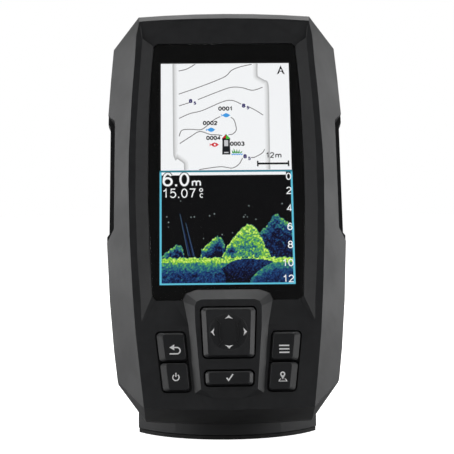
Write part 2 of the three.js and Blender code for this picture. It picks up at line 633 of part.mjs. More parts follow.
/** Key cap with a bevelled top and a lip that keeps it behind the face. */
function makeKey(corners, { insets, lips }, top, lipFront = GLASS + GAP) {
  const edge = offset(corners, -GAP);
  const crown = offset(edge, insets.map((inset) => -inset));
  const cap = loft([
    atDepth(rounded(crown, KEY_CORNERS.crown), top),
    atDepth(rounded(edge, KEY_CORNERS.edge), top + KEY.bevel),
    atDepth(rounded(edge, KEY_CORNERS.edge), KEY.foot),
  ]);
  return join(cap, prism(rounded(offset(corners, lips), KEY_CORNERS.lip), lipFront, KEY.foot));
}

/** Mirrors a geometry left to right and turns its faces the right way out again. */
function mirrorAcross(geometry) {
  const copy = geometry.clone().scale(-1, 1, 1);
  const index = copy.index.array;
  for (let i = 0; i < index.length; i += 3) [index[i], index[i + 1]] = [index[i + 1], index[i]];
  return copy;
}

function makeRocker() {
  const cap = makeKey(ROCKER, ROCKER_EDGES, KEY.topIsland, GLASS + ROCKER_PLAY);
  const { bore, z, front } = ROCKER_POST;
  return cut(cap, barDeep(bore, 0, z, front - GAP, PAST, SMALL_SIDES));
}

function buildKeys(group) {
  const upper = makeKey(SIDE_UPPER, UPPER_EDGES, KEY.topSide);
  const lower = makeKey(SIDE_LOWER, LOWER_EDGES, KEY.topSide);
  place(group, 'back_key', upper, KEY_RUBBER);
  place(group, 'power_key', lower, KEY_RUBBER);
  place(group, 'menu_key', mirrorAcross(upper), KEY_RUBBER);
  place(group, 'mark_key', mirrorAcross(lower), KEY_RUBBER);
  place(group, 'enter_key', makeKey(ENTER, ENTER_EDGES, KEY.topIsland), KEY_RUBBER);
  place(group, 'rocker_key', makeRocker(), KEY_RUBBER);
  const { radius, z, front, back } = ROCKER_POST;
  place(group, 'rocker_pivot', barDeep(radius, 0, z, front, back, SMALL_SIDES), SILICONE);
}

// ---- Cradle and quick release -------------------------------------------------------------------

function makeCradle() {
  const inner = RAIL.flangeHalf + GAP;
  const outer = inner + CRADLE.wall;
  const mouth = RAIL.neckHalf + GAP;
  const front = BACK + CRADLE.clearance;
  const lipBack = BACK + RAIL.neckDepth - GAP;
  const channel = BACK + RAIL.neckDepth + RAIL.flangeDepth + GAP;
  const back = channel + CRADLE.wall;
  const half = [[mouth, front], [mouth, lipBack], [inner, lipBack], [inner, channel]];
  const track = [
    [-outer, front], [-outer, back], [outer, back], [outer, front],
    ...half, ...half.map(([x, y]) => [-x, y]).reverse(),
  ];
  const bottom = RAIL.bottom - GAP - CRADLE.floor;
  const { pinDepth, pinZ, half: leverHalf } = LEVER;
  const earNear = leverHalf + CRADLE_EAR.gap;
  const earFar = earNear + CRADLE_EAR.thickness;
  const ears = [[-earFar, -earNear], [earNear, earFar]].map(([left, right]) =>
    block(
      [left, back - BITE, pinZ - CRADLE_EAR.rise],
      [right, pinDepth + CRADLE_EAR.reach, pinZ + CRADLE_EAR.rise],
    ));
  const lug = join(
    block(
      [-TILT.knuckleHalf, back - BITE, TILT.z - TILT.knuckle],
      [TILT.knuckleHalf, TILT.depth, TILT.z + TILT.knuckle],
    ),
    barAcross(TILT.knuckle, -TILT.knuckleHalf, TILT.knuckleHalf, TILT.depth, TILT.z),
  );
  return cut(
    join(
      slabUp(track, bottom, RAIL.top),
      block([-outer + BITE, front, bottom], [outer - BITE, back - BITE, RAIL.bottom - GAP]),
      lug,
      ...ears,
    ),
    barAcross(TILT.bolt + GAP, -outer, outer, TILT.depth, TILT.z),
    barAcross(PIN_RADIUS + GAP, -outer, outer, pinDepth, pinZ, HOLE_SIDES),
  );
}

function makeReleaseLever() {
  const { pinDepth, pinZ, half, thickness, foot, head, toothTip } = LEVER;
  const front = pinDepth - thickness / 2;
  const back = pinDepth + thickness / 2;
  const hookFoot = RAIL.top + GAP;
  const lipBack = back + THUMB_LIP.rise;
  const side = [
    [front, foot], [lipBack, foot], [lipBack, foot + THUMB_LIP.flat], [back, foot + THUMB_LIP.ramp],
    [back, head - LEVER_CORNER.back], [back - LEVER_CORNER.back, head],
    [toothTip + LEVER_CORNER.toothRun, head], [toothTip, head - LEVER_CORNER.toothDrop],
    [toothTip, hookFoot], [front, hookFoot],
  ];
  return cut(
    slabAcross(side, -half, half),
    barAcross(PIN_RADIUS + GAP, -half - PAST, half + PAST, pinDepth, pinZ, HOLE_SIDES),
    block(
      [-SPRING_SLOT_HALF, front - PAST, pinZ - SPRING_SLOT_HALF],
      [SPRING_SLOT_HALF, back + PAST, pinZ + SPRING_SLOT_HALF],
    ),
  );
}

/** Wire coil round the lever's pin. */
function makeReleaseSpring() {
  const { turns, radius, wire, half, stepsPerTurn, wireSegments } = SPRING;
  class Coil extends THREE.Curve {
    getPoint(share, target = new THREE.Vector3()) {
      const angle = share * turns * 2 * Math.PI;
      const x = -half + share * 2 * half;
      const depth = LEVER.pinDepth + radius * Math.cos(angle);
      return target.set(x, depth, LEVER.pinZ + radius * Math.sin(angle));
    }
  }
  const section = new THREE.Shape();
  section.absarc(0, 0, wire, 0, 2 * Math.PI);
  return new THREE.ExtrudeGeometry(section, {
    steps: turns * stepsPerTurn, curveSegments: wireSegments, extrudePath: new Coil(), bevelEnabled: false,
  });
}

function buildCradle(group) {
  const pinEnd = LEVER.half + PIN_OVERRUN;
  place(group, 'cradle', makeCradle(), CASE_PLASTIC);
  place(group, 'release_lever', makeReleaseLever(), CASE_PLASTIC);
  const pin = barAcross(PIN_RADIUS, -pinEnd, pinEnd, LEVER.pinDepth, LEVER.pinZ, HOLE_SIDES);
  place(group, 'release_pin', pin, STEEL);
  place(group, 'release_spring', makeReleaseSpring(), STEEL);
}

// ---- Tilt and swivel mount ----------------------------------------------------------------------

/** Round disc with two flats parallel to X, standing on the mounting surface. */
function flattedDisc(disc, half, height) {
  return common(disc, block([-half, -BASE.radius, 0], [half, BASE.radius, height]));
}

const baseHoleSpots = BASE_HOLES.angles.map((degrees) => {
  const angle = THREE.MathUtils.degToRad(degrees);
  return { x: BASE_HOLES.radius * Math.cos(angle), y: BASE_HOLES.radius * Math.sin(angle) };
});

function makeBasePad() {
  const disc = barUp(PAD.radius, 0, PAD.thickness, { sides: DISC_SIDES });
  const holes = baseHoleSpots.map((spot) =>
    barUp(BASE_HOLES.hole, -PAST, PAD.thickness + PAST, { ...spot, sides: HOLE_SIDES }));
  return cut(flattedDisc(disc, PAD.half, PAD.thickness), ...holes);
}

function makeBasePlate() {
  const foot = PAD.thickness + GAP;
  const profile = [
    [0, foot], [BASE.radius, foot], [BASE.radius, BASE.shoulder], [BASE.topRadius, BASE.top], [0, BASE.top],
  ];
  const disc = new THREE.LatheGeometry(profile.map(([r, z]) => new THREE.Vector2(r, z)), DISC_SIDES);
  const { radius, head, headHeight, headRoom } = SWIVEL_BOLT;
  const { hole, seat, seatFloor } = BASE_HOLES;
  const above = BASE.top + PAST;
  return cut(
    flattedDisc(disc.rotateX(Math.PI / 2), BASE.half, BASE.top),
    barUp(radius + GAP, 0, above),
    barUp(head + headRoom, 0, foot + headHeight + GAP),
    ...baseHoleSpots.map((spot) => barUp(hole, 0, above, { ...spot, sides: HOLE_SIDES })),
    ...baseHoleSpots.map((spot) => barUp(seat, seatFloor, above, { ...spot, sides: SMALL_SIDES })),
  );
}

function makeTurret() {
  const foot = BASE.top + GAP;
  const floor = foot + TURRET.thickness;
  const { uprightY, uprightZ, bolt, knuckleHalf } = TILT;
  const near = knuckleHalf + TILT_WASHER.thickness + 2 * GAP;
  const far = near + EAR.thickness;
  const crown = Array.from({ length: EAR.crownSteps + 1 }, (_, i) => {
    const angle = (i / EAR.crownSteps) * Math.PI;
    return [uprightY - EAR.radius * Math.cos(angle), uprightZ + EAR.radius * Math.sin(angle)];
  });
  const side = [[EAR.footFront, floor - PAST], ...crown, [EAR.footBack, floor - PAST]];
  return cut(
    join(
      barUp(TURRET.radius, foot, floor, { sides: DISC_SIDES, topRadius: TURRET.radius - TURRET.chamfer }),
      slabAcross(side, near, far),
      slabAcross(side, -far, -near),
    ),
    barUp(SWIVEL_BOLT.radius + GAP, foot - PAST, floor + PAST),
    barAcross(bolt + GAP, -far - PAST, far + PAST, uprightY, uprightZ),
  );
}

function buildSwivelFastener(group) {
  const { radius, head, headHeight, washer, washerHeight, nut, nutHeight, overrun } = SWIVEL_BOLT;
  const foot = PAD.thickness + GAP;
  const washerFoot = BASE.top + TURRET.thickness + 2 * GAP;
  const nutFoot = washerFoot + washerHeight + GAP;
  const nutTop = nutFoot + nutHeight;
  const bolt = join(
    barUp(head, foot, foot + headHeight, { sides: 6 }),
    barUp(radius, foot + headHeight - BITE, nutTop + overrun),
  );
  place(group, 'swivel_bolt', bolt, STEEL);
  const bore = barUp(radius + GAP, 0, nutTop + PAST);
  place(group, 'swivel_washer', cut(barUp(washer, washerFoot, washerFoot + washerHeight), bore), STEEL);
  place(group, 'swivel_nut', cut(barUp(nut, nutFoot, nutTop, { sides: 6 }), bore), STEEL);
}

/** Hand knob with rounded lobes, on the end of the tilt bolt. */
function makeKnob(start) {
  const { radius, lobes, lobeDepth, stepsPerLobe, width, hub, hubWidth, boreDepth } = KNOB;
  const { uprightY, uprightZ, bolt } = TILT;
  const grip = Array.from({ length: lobes * stepsPerLobe }, (_, i) => {
    const angle = (i / (lobes * stepsPerLobe)) * 2 * Math.PI;
    const reach = radius - lobeDepth + lobeDepth * Math.cos(lobes * angle);
    return [uprightY + reach * Math.cos(angle), uprightZ + reach * Math.sin(angle)];
  });
  const gripStart = start + hubWidth;
  return cut(
    join(
      barAcross(hub, start, gripStart + BITE, uprightY, uprightZ),
      slabAcross(grip, gripStart, gripStart + width),
    ),
    barAcross(bolt + GAP, start - PAST, gripStart + boreDepth, uprightY, uprightZ),
  );
}

function buildTiltFastener(group) {
  const { uprightY, uprightZ, bolt, knuckleHalf } = TILT;
  const { radius, thickness } = TILT_WASHER;
  const washerStart = knuckleHalf + GAP;
  const earEnd = washerStart + thickness + GAP + EAR.thickness;
  for (const [name, x] of [['left', -washerStart - thickness], ['right', washerStart]]) {
    const washer = cut(
      barAcross(radius, x, x + thickness, uprightY, uprightZ),
      barAcross(bolt + GAP, x - PAST, x + thickness + PAST, uprightY, uprightZ),
    );
    place(group, `tilt_washer_${name}`, washer, RUBBER);
  }
  const headStart = -earEnd - GAP;
  const { headRadius, headThickness, overrun } = TILT_BOLT_ENDS;
  const tiltBolt = join(
    barAcross(headRadius, headStart - headThickness, headStart, uprightY, uprightZ, 6),
    barAcross(bolt, headStart - BITE, earEnd + overrun, uprightY, uprightZ),
  );
  place(group, 'tilt_bolt', tiltBolt, STEEL);
  place(group, 'tilt_knob', makeKnob(earEnd + GAP), CASE_PLASTIC);
}

function buildMount(group) {
  place(group, 'base_pad', makeBasePad(), RUBBER);
  place(group, 'base_plate', makeBasePlate(), CASE_PLASTIC);
  place(group, 'swivel_turret', makeTurret(), CASE_PLASTIC);
  buildSwivelFastener(group);
  buildTiltFastener(group);
}

// ---- Assembly -----------------------------------------------------------------------------------

const lean = THREE.MathUtils.degToRad(HEAD_LEAN);
const head = new THREE.Group();
head.rotation.x = -lean;
head.position.set(
  0,
  TILT.uprightY - TILT.depth * Math.cos(lean) - TILT.z * Math.sin(lean),
  TILT.uprightZ + TILT.depth * Math.sin(lean) - TILT.z * Math.cos(lean),
);
buildCase(head);
buildElectronics(head);
buildKeys(head);
buildCradle(head);

const mount = new THREE.Group();
buildMount(mount);

const fishFinder = new THREE.Group();
fishFinder.add(head, mount);

export default fishFinder;
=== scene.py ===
"""Finished look of a portrait fish finder on its tilt and swivel mount.

Lengths on the head are in millimetres in the head's own frame: x to the right, z up the face
and depth back from the front of the display. HeadSpace turns them into metres in the row frame.
"""

import json
import logging
import math
from dataclasses import dataclass, field
from enum import Enum

import bmesh
import bpy
import numpy as np
from mathutils import Matrix, Vector


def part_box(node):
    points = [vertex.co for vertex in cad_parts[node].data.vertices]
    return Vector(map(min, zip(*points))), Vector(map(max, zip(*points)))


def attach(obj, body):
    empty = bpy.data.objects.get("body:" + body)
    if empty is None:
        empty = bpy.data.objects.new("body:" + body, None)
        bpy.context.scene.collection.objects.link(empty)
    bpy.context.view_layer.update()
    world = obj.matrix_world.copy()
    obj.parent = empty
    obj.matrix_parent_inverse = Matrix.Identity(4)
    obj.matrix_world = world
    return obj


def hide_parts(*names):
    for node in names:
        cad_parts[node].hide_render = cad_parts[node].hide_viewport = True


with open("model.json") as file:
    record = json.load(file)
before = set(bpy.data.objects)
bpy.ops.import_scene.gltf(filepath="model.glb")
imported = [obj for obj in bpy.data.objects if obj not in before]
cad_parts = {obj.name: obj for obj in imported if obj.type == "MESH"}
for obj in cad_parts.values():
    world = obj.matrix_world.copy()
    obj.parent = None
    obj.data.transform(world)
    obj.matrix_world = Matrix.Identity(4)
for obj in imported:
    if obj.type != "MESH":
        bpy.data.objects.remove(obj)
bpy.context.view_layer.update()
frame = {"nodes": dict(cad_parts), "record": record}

MM = 0.001
LOG = logging.getLogger("fish_finder")

Point = tuple[float, float]
Colour = tuple[float, float, float]


class Slot(Enum):
    """Material slots of the record."""

    CASE = "case_plastic"
    KEY = "key_plastic"
    GLASS = "lens_glass"
    SCREEN = "screen"
    SILICONE = "silicone"
    RUBBER = "rubber"
    BOARD = "circuit_board"
    SHEET = "sheet_metal"
    STEEL = "steel"
    CERAMIC = "ceramic"
    GOLD = "contact_gold"


class Body(Enum):
    """Bodies of the frame that pieces ride on."""

    BASE = "base"
    TURRET = "turret"
    KNOB = "tilt_knob"
    HEAD = "head"
    LEVER = "release_lever"
    BACK = "back_key"
    POWER = "power_key"
    MENU = "menu_key"
    MARK = "mark_key"
    ENTER = "enter_key"
    ROCKER = "rocker_key"


# ---- The head's own frame ---------------------------------------------------------------------


@dataclass(frozen=True)
class HeadSpace:
    """The head's own frame, found from the display panel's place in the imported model.

    lean is how far the head leans back, in degrees. panel_rise and panel_depth are the middle
    of the display panel in this frame, in millimetres.
    """

    lean: float = 20.0
    panel_rise: float = 0.75
    panel_depth: float = 1.6

    @property
    def up(self) -> Vector:
        """Direction up the face."""
        angle = math.radians(self.lean)
        return Vector((0, math.sin(angle), math.cos(angle)))

    @property
    def deep(self) -> Vector:
        """Direction back into the head."""
        angle = math.radians(self.lean)
        return Vector((0, math.cos(angle), -math.sin(angle)))

    @property
    def origin(self) -> Vector:
        """Middle of the display's front, in metres in the row frame."""
        low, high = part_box("lcd_panel")
        return (low + high) / 2 - (self.up * self.panel_rise + self.deep * self.panel_depth) * MM

    @property
    def matrix(self) -> Matrix:
        """Matrix from (x, depth, z) in millimetres to the row frame in metres."""
        turn = Matrix((Vector((1, 0, 0)), self.deep, self.up)).transposed()
        return Matrix.Translation(self.origin) @ (turn * MM).to_4x4()

    def place(self, x: float, z: float, depth: float) -> Vector:
        """Turns a point of the head's frame into one of the row frame."""
        return self.matrix @ Vector((x, depth, z))


HEAD = HeadSpace()


# ---- Outline helpers --------------------------------------------------------------------------


def smooth_path(points: list[Point], steps: int = 6) -> list[Point]:
    """Runs a smooth curve through a few points.

    Args:
        points: The points that the curve passes through.
        steps: Straight steps between two of them.

    Returns:
        The points of the curve, with both ends.
    """
    knots = [np.array(p, float) for p in [points[0], *points, points[-1]]]
    path: list[Point] = []
    for a, b, c, d in zip(knots, knots[1:], knots[2:], knots[3:]):
        for step in range(steps):
            t = step / steps
            spot = 0.5 * (2 * b + (c - a) * t + (2 * a - 5 * b + 4 * c - d) * t**2
                          + (3 * b - a - 3 * c + d) * t**3)
            path.append((float(spot[0]), float(spot[1])))
    return [*path, points[-1]]


def arc(x: float, z: float, radius: float, start: float = 0, end: float = 360, steps: int = 24
        ) -> list[Point]:
    """Points along an arc, anticlockwise from start to end in degrees.

    Args:
        x: Middle of the arc, to the right.
        z: Middle of the arc, up the face.
        radius: Radius of the arc.
        start: Angle of the first point.
        end: Angle of the last point. A full turn leaves its last point out.
        steps: Straight steps along it.

    Returns:
        The points of the arc.
    """
    count = steps if abs(end - start) >= 360 else steps + 1
    angles = [math.radians(start + (end - start) * i / steps) for i in range(count)]
    return [(x + radius * math.cos(a), z + radius * math.sin(a)) for a in angles]


def box_outline(left: float, bottom: float, right: float, top: float) -> list[Point]:
    """Corners of an upright rectangle, anticlockwise."""
    return [(left, bottom), (right, bottom), (right, top), (left, top)]


def oval(x: float, z: float, wide: float, high: float, start: float = 0, end: float = 360
         ) -> list[Point]:
    """Points along an upright oval, as arc gives them along a circle.

    Args:
        x: Middle of the oval, to the right.
        z: Middle of the oval, up the face.
        wide: Half its width.
        high: Half its height.
        start: Angle of the first point.
        end: Angle of the last point.

    Returns:
        The points of the oval.
    """
    return [(x + wide * u, z + high * v) for u, v in arc(0, 0, 1, start, end, 18)]


@dataclass(frozen=True)
class Glyph:
    """A character as strokes in a unit box, each with whether it closes on itself."""

    width: float
    strokes: tuple[tuple[list[Point], bool], ...]


GLYPHS: dict[str, Glyph] = {
    "0": Glyph(0.5, ((oval(0.5, 0.5, 0.5, 0.5), True),)),
    "1": Glyph(0.4, (([(0, 0.76), (0.32, 0.8), (0.62, 1.0), (0.62, 0)], False),)),
    "2": Glyph(0.5, (([*oval(0.5, 0.7, 0.48, 0.3, 170, -25), (0.45, 0.33), (0.02, 0), (1, 0)], False),)),
    "3": Glyph(0.5, ((oval(0.46, 0.76, 0.44, 0.24, 160, -90), False),
                     (oval(0.48, 0.27, 0.52, 0.27, 90, -160), False))),
    "4": Glyph(0.52, (([(0.74, 0), (0.74, 1), (0, 0.27), (1, 0.27)], False),)),
    "5": Glyph(0.5, (([(0.92, 1), (0.18, 1), (0.1, 0.52), *oval(0.48, 0.33, 0.52, 0.33, 128, -150)],
                      False),)),
    "6": Glyph(0.52, ((oval(0.5, 0.31, 0.5, 0.31), True),
                      ([(0, 0.32), (0.03, 0.6), (0.16, 0.85), (0.42, 1), (0.7, 0.98), (0.93, 0.82)], False))),
    "7": Glyph(0.5, (([(0, 1), (1, 1), (0.6, 0.5), (0.38, 0)], False),)),
    "8": Glyph(0.5, ((oval(0.5, 0.76, 0.42, 0.24), True), (oval(0.5, 0.26, 0.5, 0.26), True))),
    "m": Glyph(0.95, (([(0, 0), (0, 1)], False),
                      ([(0, 0.7), (0.1, 0.92), (0.26, 1), (0.42, 0.93), (0.49, 0.7), (0.49, 0)], False),
                      ([(0.5, 0.7), (0.6, 0.92), (0.76, 1), (0.92, 0.93), (0.99, 0.7), (0.99, 0)], False))),
    "C": Glyph(0.6, ((oval(0.5, 0.5, 0.5, 0.5, 45, 315), False),)),
    ".": Glyph(0.08, (([(0.5, -0.08), (0.5, 0.09)], False),)),
}


LETTER_SPACE = 0.24  # between two characters, as a share of the unit box


@dataclass
class Artwork:
    """Thin closed plates in the plane of the face, gathered into one mesh.

    depth is where the plates' fronts lie and thickness how far they go back from there.
    """

    depth: float
    thickness: float = 0.03
    corners: list[Vector] = field(default_factory=list)
    faces: list[tuple[int, ...]] = field(default_factory=list)
    shades: list[float] = field(default_factory=list)

    def _corner(self, point: Point, depth: float, shade: float = 0.0) -> int:
        """Adds one corner and returns its number."""
        self.corners.append(HEAD.place(point[0], point[1], depth))
        self.shades.append(shade)
        return len(self.corners) - 1

    def plate(self, outline: list[Point]) -> "Artwork":
        """Adds a closed plate with straight sides.

        Args:
            outline: Its corners in either order.

        Returns:
            This artwork, so that calls can follow each other.
        """
        turned = zip(outline, outline[1:] + outline[:1])
        area = sum(x0 * z1 - x1 * z0 for (x0, z0), (x1, z1) in turned)
        ordered = outline if area > 0 else outline[::-1]
        front = [self._corner(p, self.depth) for p in ordered]
        back = [self._corner(p, self.depth + self.thickness) for p in ordered]
        self.faces += [tuple(front), tuple(reversed(back))]
        count = len(ordered)
        for i in range(count):
            j = (i + 1) % count
            self.faces.append((front[j], front[i], back[i], back[j]))
        return self

    def ribbon(self, path: list[Point], width: float, closed: bool = False,
               shades: tuple[float, float] = (0.0, 0.0)) -> "Artwork":
        """Adds a strip of even width along a path.

        Args:
            path: The points along the middle of the strip.
            width: Width across the strip.
            closed: Whether the last point joins the first.
            shades: Shade stored on the left and on the right edge, as walked.

        Returns:
            This artwork.
        """
        spots = [Vector(p) for p in path]
        count = len(spots)
        rows = []
        for i, spot in enumerate(spots):
            before = spots[i - 1] if closed or i > 0 else spot
            after = spots[(i + 1) % count] if closed or i < count - 1 else spot
            first = (spot - before).normalized() if spot != before else (after - spot).normalized()
            second = (after - spot).normalized() if spot != after else first
            run = (first + second).normalized()
            across = Vector((-run.y, run.x)) * (width / 2 / max(run.dot(first), 0.5))
            left, right = spot + across, spot - across
            back = self.depth + self.thickness
            rows.append((
                self._corner(left, self.depth, shades[0]), self._corner(right, self.depth, shades[1]),
                self._corner(right, back, shades[1]), self._corner(left, back, shades[0]),
            ))
        pairs = list(zip(rows, rows[1:] + rows[:1])) if closed else list(zip(rows, rows[1:]))
        for here, there in pairs:
            for k in range(4):
                m = (k + 1) % 4
                self.faces.append((here[k], here[m], there[m], there[k]))
        if not closed:
            self.faces += [tuple(reversed(rows[0])), rows[-1]]
        return self

    def lettering(self, text: str, left: float, base: float, height: float, stroke: float,
                  width: float) -> "Artwork":
        """Adds figures and letters drawn with an even stroke.

        Args:
            text: What it says.
            left: Left edge of the first character.
            base: Foot of the characters.
            height: Height of the characters.
            stroke: Width of their strokes.
            width: Width of the whole text.

        Returns:
            This artwork.
        """
        wide = [GLYPHS[character].width for character in text]
        share = (width - stroke) / (sum(wide) + LETTER_SPACE * (len(wide) - 1))
        start = left + stroke / 2
        for character, breadth in zip(text, wide):
            glyph = GLYPHS[character]
            for path, closed in glyph.strokes:
                spots = [(start + x * breadth * share, base + stroke / 2 + z * (height - stroke))
                         for x, z in path]
                self.ribbon(spots, stroke, closed)
            start += (breadth + LETTER_SPACE) * share
        return self

    def build(self, name: str, finish: "Finish", body: Body, slot: Slot) -> bpy.types.Object:
        """Makes the mesh piece and lets it ride.

        Args:
            name: Name of the piece.
            finish: Its finish.
            body: The body it rides on.
            slot: The record's slot that its finish stands for. Not used.

        Returns:
            The piece.
        """
        mesh = bpy.data.meshes.new(name)
        mesh.from_pydata(self.corners, [], self.faces)
        mesh.attributes.new("shade", "FLOAT", "POINT").data.foreach_set("value", self.shades)
        return add_piece(name, mesh, finish, body)

    def show(self, name: str, finish: "Finish") -> bpy.types.Object:
        """Makes the mesh piece as a lit layer of the display."""
        return self.build(name, finish, Body.HEAD, Slot.SCREEN)


def add_piece(name: str, mesh: bpy.types.Mesh, finish: "Finish", body: Body,
              stands_for: tuple[str, ...] = ()) -> bpy.types.Object:
    """Adds a mesh to the scene as a piece that rides on a body.

    Args:
        name: Name of the piece.
        mesh: Its mesh, already in place.
        finish: Its finish.
        body: The body it rides on.
        stands_for: CAD nodes that it replaces.

    Returns:
        The piece.
    """
    piece = bpy.data.objects.new(name, mesh)
    bpy.context.scene.collection.objects.link(piece)
    mesh.materials.clear()
    mesh.materials.append(finish.material())
    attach(piece, body.value)
    if stands_for:
        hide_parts(*stands_for)
    LOG.info("%s rides on %s", name, body.value)
    return piece


# ---- Shared shader effects --------------------------------------------------------------------


class Effects:
    """Shader node groups that several finishes share, each built the first time it is used."""

    @staticmethod
    def _start(name: str, inputs: dict[str, float], outputs: tuple[str, ...]
               ) -> tuple[bpy.types.NodeTree, bpy.types.Node, bpy.types.Node]:
        """Makes an empty group with its sockets.

        Args:
            name: Name of the group.
            inputs: Names of its number inputs, with their usual values.
            outputs: Names of its number outputs.

        Returns:
            The group, its input node and its output node.
        """
        group = bpy.data.node_groups.new(name, "ShaderNodeTree")
        for label, usual in inputs.items():
            socket = group.interface.new_socket(label, in_out="INPUT", socket_type="NodeSocketFloat")
            socket.default_value = usual
        for label in outputs:
            group.interface.new_socket(label, in_out="OUTPUT", socket_type="NodeSocketFloat")
        return group, group.nodes.new("NodeGroupInput"), group.nodes.new("NodeGroupOutput")

    @staticmethod
    def _break_up(group: bpy.types.NodeTree, given: bpy.types.Node, result: bpy.types.Node,
                  mask: bpy.types.NodeSocket, detail: float) -> None:
        """Breaks a mask up by a noise, scales it by Amount and puts it out as Mask.

        Args:
            group: The group, whose inputs include Amount and Scale.
            given: Its input node.
            result: Its output node.
            mask: The even mask.
            detail: Detail of the noise.
        """
        place = group.nodes.new("ShaderNodeTexCoord")
        speckle = group.nodes.new("ShaderNodeTexNoise")
        speckle.inputs["Detail"].default_value = detail
        group.links.new(place.outputs["Object"], speckle.inputs["Vector"])
        group.links.new(given.outputs["Scale"], speckle.inputs["Scale"])
        for factor in (speckle.outputs["Fac"], given.outputs["Amount"]):
            product = group.nodes.new("ShaderNodeMath")
            product.operation = "MULTIPLY"
            product.use_clamp = True
            group.links.new(mask, product.inputs[0])
            group.links.new(factor, product.inputs[1])
            mask = product.outputs["Value"]
        group.links.new(mask, result.inputs["Mask"])

    @classmethod
    def grain(cls) -> bpy.types.NodeTree:
        """Fine moulded grain: a height for bump, and a slow cloud for colour and gloss."""
        found = bpy.data.node_groups.get("moulded_grain")
        if found:
            return found
        group, given, result = cls._start("moulded_grain", {"Scale": 2600.0, "Cloud Scale": 60.0},
                                          ("Height", "Cloud"))
        place = group.nodes.new("ShaderNodeTexCoord")
        for size, label in (("Scale", "Height"), ("Cloud Scale", "Cloud")):
            speckle = group.nodes.new("ShaderNodeTexNoise")
            speckle.inputs["Detail"].default_value = 3.0
            group.links.new(place.outputs["Object"], speckle.inputs["Vector"])
            group.links.new(given.outputs[size], speckle.inputs["Scale"])
            group.links.new(speckle.outputs["Fac"], result.inputs[label])
        return group

    @classmethod
    def painted_edge_sheen(cls) -> bpy.types.NodeTree:
        """Mask of the sharp edges where a painted highlight lightens the colour, broken up by a noise."""
        found = bpy.data.node_groups.get("painted_edge_sheen")
        if found:
            return found
        group, given, result = cls._start("painted_edge_sheen", {"Amount": 0.5, "Scale": 300.0}, ("Mask",))
        # painted highlight: pointiness picks out the sharp edges that are lightened
        shape = group.nodes.new("ShaderNodeNewGeometry")
        sharp = group.nodes.new("ShaderNodeMapRange")
        sharp.inputs["From Min"].default_value = 0.52
        sharp.inputs["From Max"].default_value = 0.62
        group.links.new(shape.outputs["Pointiness"], sharp.inputs["Value"])
        cls._break_up(group, given, result, sharp.outputs["Result"], 2.0)
        return group

    @classmethod
    def dust(cls) -> bpy.types.NodeTree:
        """Mask of the thin dust that settles on what faces up."""
        found = bpy.data.node_groups.get("settled_dust")
        if found:
            return found
        group, given, result = cls._start("settled_dust", {"Amount": 0.1, "Scale": 500.0}, ("Mask",))
        shape = group.nodes.new("ShaderNodeNewGeometry")
        split = group.nodes.new("ShaderNodeSeparateXYZ")
        facing = group.nodes.new("ShaderNodeMapRange")
        facing.inputs["From Min"].default_value = 0.3
        group.links.new(shape.outputs["Normal"], split.inputs["Vector"])
        group.links.new(split.outputs["Z"], facing.inputs["Value"])
        cls._break_up(group, given, result, facing.outputs["Result"], 5.0)
        return group


MIX_COLOURS, MIX_RESULT = (6, 7), 2  # colour sockets of a Mix node
CLOUD_LOW, CLOUD_HIGH = 0.3, 0.7  # usual range of a noise


